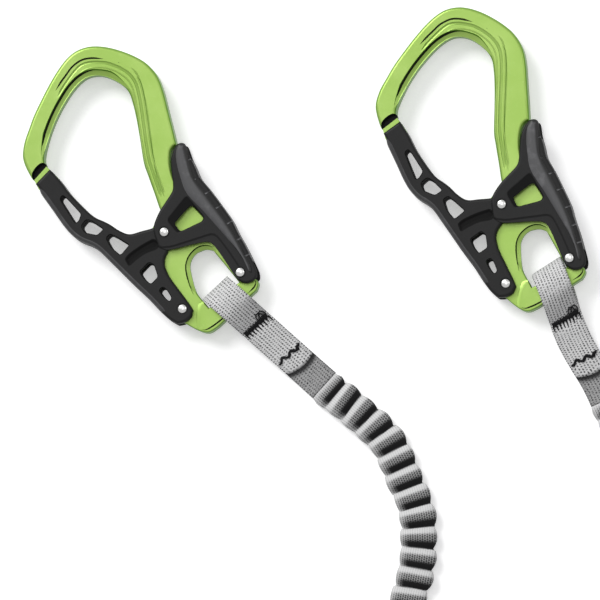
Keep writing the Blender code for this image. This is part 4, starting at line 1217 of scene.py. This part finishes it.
def makeCover(front):
    c = carabiner
    low, high, under = 0.15 * mm, c["coverHalf"], -1 * mm
    pivot = placed("gatePivot")
    windows = [cornered(local(points), 1.1 * mm) for points in outlines["windows"]]
    cover = profiled(shape("cover"), rims(low, high, 1.5 * mm, 0, steps=4), blackPlastic)
    # the outer rail, whose lighter plastic is a painted highlight
    rail, _ = smoothRoute([(x, y, 4.35 * mm) for x, y in local(outlines["outerRail"])], 1.5 * mm)
    rod = rodAlong(rail, 1.53 * mm)
    rod.data.materials.append(railPlasticPaintedHighlight)
    joined(cover, rod, "UNION")
    inside = profiled(grown(shape("cover"), -1.1 * mm), [(0, under), (0, c["coverInside"])])
    joined(inside, merged([profiled(grown(w, 0.8 * mm), [(0, -2 * mm), (0, 9 * mm)]) for w in windows]))
    joined(cover, inside)
    joined(cover, profiled(grown(shape("tip"), 0.3 * mm), [(0, under), (0, c["coverInside"])]))
    holes = merged([profiled(w, flares(low, high, 0.4 * mm)) for w in windows])
    holes.data.materials.append(shadowPlastic)
    joined(cover, holes)
    joined(cover, roundBar(pivot, c["forkRadius"], under, c["forkHalf"], 96))
    joined(cover, slotCutter(pinPath(True), c["pinHole"], 3 * mm))
    valley = [(0.9, 7 * mm), (0.8, high), (0.1, 5.2 * mm), (-0.4, 4.75 * mm), (-0.9, 4.6 * mm)]
    joined(cover, profiled(shape("recess"), [(away * mm, height) for away, height in valley], shadowPlastic))
    joined(cover, roundBar(pivot, c["rivetHole"], under, 9 * mm))
    joined(cover, roundBar(pivot, c["headSeat"], 5.1 * mm, 9 * mm, 48))
    if not front:
        whole, cover = cover, mirrored(cover)
        bpy.data.objects.remove(whole)
    print("gate cover", len(cover.data.polygons), "faces")
    word = "Front" if front else "Back"
    node = "_gate_cover_" + word.lower()
    placeOnSides(cover, "GateCover" + word, node, "_gate", blackPlastic)


def makeWell():
    outer, inner = (cornered(local(outlines[key]), 1.2 * mm) for key in ("leverWindow", "wellFoot"))
    steps = [(outer, 0.7, 5.97), (outer, 0.7, 6.6), (outer, -0.05, 6.6), (inner, 0, 6.12), (inner, 0, 5.97)]
    rings = [(grown(outline, away * mm), height * mm) for outline, away, height in steps]
    return lofted(rings, shadowPlastic, True)


def makeLever():
    c = carabiner
    arm, pivot, pin, through = c["armHalf"], placed("leverPivot"), placed("lockPin"), 12 * mm
    lever = profiled(shape("lever"), rims(-arm, arm, 1.3 * mm, steps=4), blackPlastic)
    # the barrel shaped band that the palm presses, on both faces
    crown = [(5.5, 0), (6.6, 0), (7.0, 0.06), (7.35, 0.2), (7.6, 0.38), (7.78, 0.58)]
    crown = [(0, height * mm, share) for height, share in crown] + [(0, c["bandHalf"], 0.85)]
    joinedTwice(lever, profiled(shape("leverBand"), crown, palmPlasticPaintedLight, local(bandSpine)), "UNION")
    joined(lever, profiled(shape("leverHollow"), [(0, -c["hollowHalf"]), (0, c["hollowHalf"])]))
    joined(lever, profiled(cornered(local(outlines["leverWindow"]), 2 * mm), flares(-arm, arm, 0.6 * mm)))
    # the window narrows within the wall, and the gate passes beneath it
    joinedTwice(lever, makeWell(), "UNION")
    step = [(-0.9 * mm, 6.25 * mm), (-0.5 * mm, 6.4 * mm), (0.3 * mm, 7.0 * mm), (0.3 * mm, 9 * mm)]
    joinedTwice(lever, profiled(shape("leverLow"), step))
    notches = []
    for x, y in grips:
        near, far = local([(x - 3.5, y + 2.2), (x + 5, y - 2.6)])
        spots = [(*near, 7.2 * mm), (*far, 5.6 * mm), (*far, -5.6 * mm), (*near, -7.2 * mm)]
        notches.append(rodAlong(spots, 0.42 * mm, taper=0))
    # the notches are lined with the lighter plastic, a painted highlight
    ticks = merged(notches)
    ticks.data.materials.append(notchPlasticPaintedHighlight)
    joined(lever, ticks)
    joinedRounds(lever, pivot, 2.4 * mm, c["forkHalf"], c["hollowHalf"] + 0.5 * mm, operation="UNION")
    joined(lever, roundBar(pivot, c["rivetHole"], -through, through))
    joined(lever, roundBar(pin, c["pinHole"], -through, through))
    for centre in (pivot, pin):
        joinedRounds(lever, centre, c["headSeat"], 6.4 * mm, through, 48)
    print("palm lever", len(lever.data.polygons), "faces")
    placeOnSides(lever, "PalmLever", "_palm_lever", "_lever", blackPlastic)


def makeRivet(name, node, pixel, radius, seat, bodyPart):
    # a rivet with a domed head on each face, spun from half its outline
    head, rise, rim = 2.25 * mm, 1.55 * mm, 0.15 * mm
    low, dome = seat - rise, rise * 0.55
    half = [(radius, 0), (radius, low), (head - rim, low), (head, low + rim), (head, seat - dome)]
    half += [(head * math.cos(a), seat - dome + dome * math.sin(a)) for a in angles(math.pi / 2, 6)[1:]]
    profile = [(r, -z) for r, z in half[:0:-1]] + half
    bm = bmesh.new()
    verts = [bm.verts.new((r, 0, z)) for r, z in profile]
    edges = [bm.edges.new(pair) for pair in zip(verts, verts[1:])]
    bmesh.ops.spin(bm, geom=verts + edges, axis=(0, 0, 1), cent=(0, 0, 0), angle=math.tau, steps=40,
                   use_merge=True)
    cleaned(bm, mm / 1000)
    bmesh.ops.translate(bm, vec=(*placed(pixel), 0), verts=bm.verts[:])
    placeOnSides(built(name, bm), name, node, bodyPart, polishedSteel, 50)


makeBody()
makeCover(True)
makeCover(False)
makeLever()
makeRivet("LeverRivet", "_lever_rivet", "leverPivot", 1.5 * mm, 8.15 * mm, "_carabiner")
makeRivet("GateRivet", "_gate_rivet", "gatePivot", 1.5 * mm, 6.45 * mm, "_carabiner")
makeRivet("LockPin", "_lock_pin", "lockPin", 1.15 * mm, 8.15 * mm, "_lever")
print("carabiners made")

for side in arms:
    core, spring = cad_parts[side + "_gate_core"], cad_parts[side + "_lever_spring"]
    for node, finish in ((core, greenAluminium), (spring, springSteel)):
        for slotOf in node.material_slots:
            slotOf.material = finish
    core.modifiers.new("weld", "WELD").merge_threshold = 0.01 * mm
    bevel = core.modifiers.new("edges", "BEVEL")
    bevel.width, bevel.segments = 0.35 * mm, 2
    bevel.limit_method, bevel.angle_limit = "ANGLE", math.radians(40)
    bevel.harden_normals = False

# Straps, tacks, pouch and absorber
absorber = {
    "centre": (-0.000552, -0.231444),
    "halfLength": 56 * mm,
    "halfWidth": 29 * mm,
    "height": 21 * mm,
    "wall": 1.5 * mm,
    "webbingWidth": 30 * mm,
    "webbingThickness": 2.0 * mm,
    "webbingEnd": 50 * mm,
    "foldPitch": 2.3 * mm,
    "foldRun": 30 * mm,
    "lowest": 2.8 * mm,
    "tieWidth": 25 * mm,
}
tack = {
    "width": 14.5 * mm,
    "radius": 0.4 * mm,
    "near": 17.0 * mm,  # runs from the bar
    "far": 38.7 * mm,
    "proud": 0.16 * mm,
}


def makeStrap(name, path, width, thickness, origin, run, acrossAt, node, material=None, lip=0.0, swayAt=None):
    # a flat strap swept along a path of runs and heights, wide in the direction that acrossAt gives
    spots, length = smoothRoute(path, 0.9 * mm)
    for spot in spots:
        spot.y = max(spot.y, strapSizes["floorGap"] + thickness / 2)
    stations = []
    for i, spot, ahead, up in alongRoute(spots):
        s = length * i / (len(spots) - 1)
        across = acrossAt(spot.x)
        sway = swayAt(spot.x) if swayAt else 0.0
        nearLip = max(0.0, 1 - (length - s) / (6 * mm)) ** 2

        def station(t, spot=spot, up=up, s=s, across=across, sway=sway, nearLip=nearLip):
            a, b = ovalSection(t, width, thickness, 0.22)
            run2, height = spot.x + up.x * b, spot.y + up.y * b
            run2 += lip * nearLip * (1 - (2 * a / width) ** 2)
            place = Vector(origin) + Vector(run) * run2 + Vector(across) * (a + sway)
            return (place.x, place.y, height), (a, s)

        stations.append(station)
    bm = tubeAlong(stations, 36)
    print(name, "strap", round(length / mm, 1), "mm")
    mesh = meshFrom(name, bm)
    addMesh(name, mesh, material or greyWebbing, "arms_and_absorber", [node])


def eyePath():
    z = strapSizes
    floor = z["floorGap"] + z["thickness"] / 2
    pitch = z["thickness"] + z["gap"]
    middle, reach, half = z["barHeight"], z["lip"], z["loopHalfHeight"]
    rise = middle - pitch / 2 - floor
    slope = ((1.06, 0), (0.85, 0.18), (0.63, 0.42), (0.45, 0.70), (0.34, 0.78))
    lower = [(z["length"], floor), *[(reach * a, floor + rise * u) for a, u in slope]]
    lower += [(reach * a, middle - half * d) for a, d in ((0.23, 0.62), (0.12, 0.86))]
    fold = [(-z["loopHalfLength"] * math.sin(a), middle - half * math.cos(a)) for a in angles(math.pi, 12)]
    upper = [(reach * a, middle + half * u) for a, u in ((0.12, 0.86), (0.23, 0.52))]
    upper += [(reach * a, floor + rise * u + pitch * p)
              for a, u, p in ((0.34, 0.78, 1.06), (0.45, 0.70, 1.02), (0.63, 0.42, 1.02), (0.85, 0.18, 1.01))]
    upper.append((reach - 2.2 * mm, floor + pitch))
    return lower + fold + upper


def topAt(spots, run):
    # height of the upper layer's face at a run from the bar
    half = strapSizes["thickness"] / 2
    upper = spots[len(spots) // 2:]
    for a, b in zip(upper, upper[1:]):
        if a.x <= run <= b.x:
            ahead = b - a
            return a.y + ahead.y * (run - a.x) / ahead.x + half * ahead.length / ahead.x
    return spots[-1].y + half


def makeEyeStrap(side, arm):
    run = runDirection(arm)
    barAngle = strapSizes["barAngle"] + arm["turn"]
    square = arm["strapAngle"] + 90

    def acrossAt(x):
        # askew at the bar and the lip, square to the run where the sleeve begins
        share = clamped(x / (40 * mm))
        last = clamped((x - 49 * mm) / (11 * mm))
        angle = barAngle + (square - arm["lipSkew"] - barAngle) * share * share * (3 - 2 * share)
        angle = math.radians(angle + arm["lipSkew"] * last)
        return Vector((math.cos(angle), math.sin(angle)))

    def swayAt(x):
        return arm["sway"] * math.sin(math.pi * clamped((x + 4 * mm) / (62 * mm))) ** 2

    path = eyePath()
    width, thickness = strapSizes["width"], strapSizes["thickness"]
    makeStrap(side + "EyeStrap", path, width, thickness, arm["bar"], run, acrossAt, side + "_eye_strap",
              eyeWebbing, eyeMarks["bulge"], swayAt)
    spots, _ = smoothRoute(path, 0.9 * mm)

    def onStrap(x, a, proud=tack["proud"]):
        flat = Vector(arm["bar"]) + run * x + acrossAt(x) * (a + swayAt(x))
        return (flat.x, flat.y, topAt(spots, x) + proud)

    def acrossTack(k, last):
        return (k / last * 2 - 1) * half

    # the near tack is a dense zigzag with long teeth towards the sleeve, and loops at one end
    half, at = tack["width"] / 2, tack["near"]
    teeth, dense, curl = [], [], []
    for k in range(9):
        for x, y in ((0.5, -0.2), (3.8 + 0.6 * math.sin(k * 3.3), 0.1), (0.5, 0.3)):
            teeth.append(onStrap(at + x * mm, acrossTack(k, 8) + y * mm, 0.2 * mm))
    for k in range(37):
        x = 1.1 + 0.3 * math.sin(k * 2.3) if k % 2 else -1.2 - 0.4 * math.sin(k * 1.7)
        dense.append(onStrap(at + x * mm, acrossTack(k, 36), 0.25 * mm))
    for k in range(20):
        x, y = -1.8 + 1.6 * math.sin(k * 0.75), 0.3 + 0.2 * k + 1.3 * math.cos(k * 0.75)
        curl.append(onStrap(at + x * mm, half - y * mm, 0.5 * mm))
    makeTack(side + "BarTackNear", [stitched(teeth), curl, stitched(dense)], side + "_bar_tack_near", 0.72)
    # the far one is a wavering row of heavier thread
    at = tack["far"]
    row, under = [], []
    for k in range(41):
        turn = k / 40 * 17
        x = at + 0.95 * mm * math.sin(turn + 0.5) + 0.3 * mm * math.sin(k * 1.9)
        row.append(onStrap(x, acrossTack(k, 40)))
        under.append(onStrap(at + 0.75 * mm * math.sin(turn + 1.2), acrossTack(k, 40) * 0.92))
    makeTack(side + "BarTackFar", [row, under], side + "_bar_tack_far", 1.25)


def stitched(corners):
    # two points on each stitch, so that the thread keeps its thickness round the turns
    spots = [corners[0]]
    for a, b in zip(corners, corners[1:]):
        spots += [tuple(Vector(a).lerp(b, t)) for t in (0.1, 0.9)]
    return [*spots, corners[-1]]


def taken(obj):
    # an object's mesh without the object
    mesh = obj.data.copy()
    bpy.data.objects.remove(obj)
    return mesh


def makeTack(name, runs, node, weight=1.0):
    # runs of thick thread, sewn down together
    radius = tack["radius"] * weight
    threads = [rodAlong(run, radius * (1 + 0.15 * k), taper=0) for k, run in enumerate(runs)]
    addMesh(name, taken(merged(threads)), blackThread, "arms_and_absorber", [node])


def squareTack(name, centre, height, node):
    # a bar tack across a strap that runs along x
    half = tack["width"] / 2

    def across(x, k, last, lift=0.0):
        return (centre[0] + x * mm, centre[1] + (k / last * 2 - 1) * half, height + lift)

    spots = [across(1.4 if k % 2 else -1.4, k, 40) for k in range(41)]
    lines = [[across(x, k, 6, 0.12 * mm) for k in range(7)] for x in (-0.7, 0.7)]
    makeTack(name, [stitched(spots), *lines], node)


def makeStraightStrap(name, path, width, thickness, origin, node, material=None):
    # one that runs along x
    makeStrap(name, path, width, thickness, origin, (1, 0), lambda x: (0, 1), node, material)


def makeEndTab(side, arm):
    z = absorber
    origin = (z["centre"][0], z["centre"][1] + arm["tabSide"] * sleeveSizes["armSpacing"] / 2)
    start, low, high = 96.7 * mm, 2.35 * mm, 14.3 * mm
    slope, rise = start - z["halfLength"], high - low
    ramp = ((0, 0), (0.12, 0), (0.4, 0.34), (0.7, 0.82), (1, 1))
    path = [*[(start - slope * a, low + rise * u) for a, u in ramp], (18 * mm, high)]
    width, thickness = strapSizes["width"], strapSizes["thickness"]
    makeStraightStrap(side + "EndTab", path, width, thickness, origin, side + "_end_tab")
    top = high + thickness / 2 + tack["proud"]
    squareTack(side + "EndTack", (origin[0] + 27 * mm, origin[1]), top, side + "_end_tack")


def makeAbsorber():
    z = absorber
    pitch, low = z["foldPitch"], z["lowest"]
    path = [(-z["webbingEnd"], low)]
    for layer in range(4):
        way, end = (1, 36 * mm) if layer % 2 == 0 else (-1, -30.1 * mm)
        height = low + layer * pitch
        path.append((end - way * z["foldRun"], height))
        for a in angles(math.pi, 8):
            path.append((end + way * math.sin(a) * pitch / 2, height + pitch / 2 * (1 - math.cos(a))))
    path.append((z["webbingEnd"], low + 4 * pitch))
    makeStraightStrap("absorberWebbing", path, z["webbingWidth"], z["webbingThickness"], z["centre"],
                      "absorber_webbing", absorberWebbing)


def makeTieInLoop():
    z = absorber
    path = [(-35, 5.1), (-58.2, 5.1), (-65, 3.08), (-74, 1.05), (-110, 1.05)]
    path += [(-150 - 7.4 * math.sin(a), 8.45 - 7.4 * math.cos(a)) for a in angles(math.pi, 8)]
    path += [(-120, 16.17), (-96, 14.27), (-75, 9.99), (-58.2, 7.4), (-35, 7.4)]
    path = [(x * mm, y * mm) for x, y in path]
    makeStraightStrap("tieInLoop", path, z["tieWidth"], z["webbingThickness"], z["centre"], "tie_in_loop")
    squareTack("tieInTack", (z["centre"][0] - 44 * mm, z["centre"][1]), 8.56 * mm, "tie_in_tack")


def makePouch():
    z = absorber
    l, w = z["halfLength"], z["halfWidth"]
    outline = cornered([(-l, -w), (l, -w), (l, w), (-l, w)], 9 * mm)
    # more points along the straight sides, which belly out a little
    dense = []
    for (ax, ay), (bx, by) in zip(outline, outline[1:] + outline[:1]):
        steps = max(1, round(math.dist((ax, ay), (bx, by)) / (4 * mm)))
        dense += [(ax + (bx - ax) * k / steps, ay + (by - ay) * k / steps) for k in range(steps)]
    spine = [(-l + 27 * mm, 0), (l - 27 * mm, 0)]
    top, low = z["height"], strapSizes["floorGap"]
    profile = [(-9, 0, 0.5), (-5, 0), (-2, 0.7), (-0.6, 2.4), (0, 5), (0, 9), (0, 12)]
    profile += [(-0.4, 15), (-1.6, 17.6), (-3.4, 19.2), (-5.5, 19.9)]
    shell = [(d * mm, low + h * mm, *share) for d, h, *share in profile]
    shell += [(-5.5 * mm, top - (0.9 - 1.2 * share) * mm, share) for share in (0.2, 0.45, 0.7, 0.93)]
    pouch = profiled(dense, shell, pouchFabric, spine)
    inner = [(d - z["wall"], z["wall"] + (h - low) * 0.86, *share) for d, h, *share in shell]
    joined(pouch, profiled(dense, inner, spine=spine))
    # the straps' ways out at both ends
    openings = ((1, 22.2 * mm, 11.15 * mm, 17.45 * mm), (-1, 14.7 * mm, 3.0 * mm, 9.5 * mm))
    for way, half, below, above in openings:
        near, far = sorted((way * (l - 8 * mm), way * (l + 4 * mm)))
        slot = [(near, -half), (far, -half), (far, half), (near, half)]
        joined(pouch, profiled(slot, [(0, below), (0, above)]))
    # piping round the middle seam
    edge = [(x, y, 9.5 * mm) for x, y in grown(dense, -0.5 * mm)]
    plain = len(pouch.data.polygons)
    mesh = taken(merged([pouch, rodAlong(edge + edge[:1], 1.1 * mm, taper=0)]))
    mesh.transform(Matrix.Translation((*z["centre"], 0)))
    addMesh("absorberPouch", mesh, pouchFabric, "arms_and_absorber", ["absorber_pouch"])
    mesh.materials.append(pipingTape)
    mesh.polygons.foreach_set("material_index", [int(face.index >= plain) for face in mesh.polygons])


for side, arm in arms.items():
    makeEyeStrap(side, arm)
    makeEndTab(side, arm)
makeAbsorber()
makeTieInLoop()
makePouch()
print("straps and pouch made")
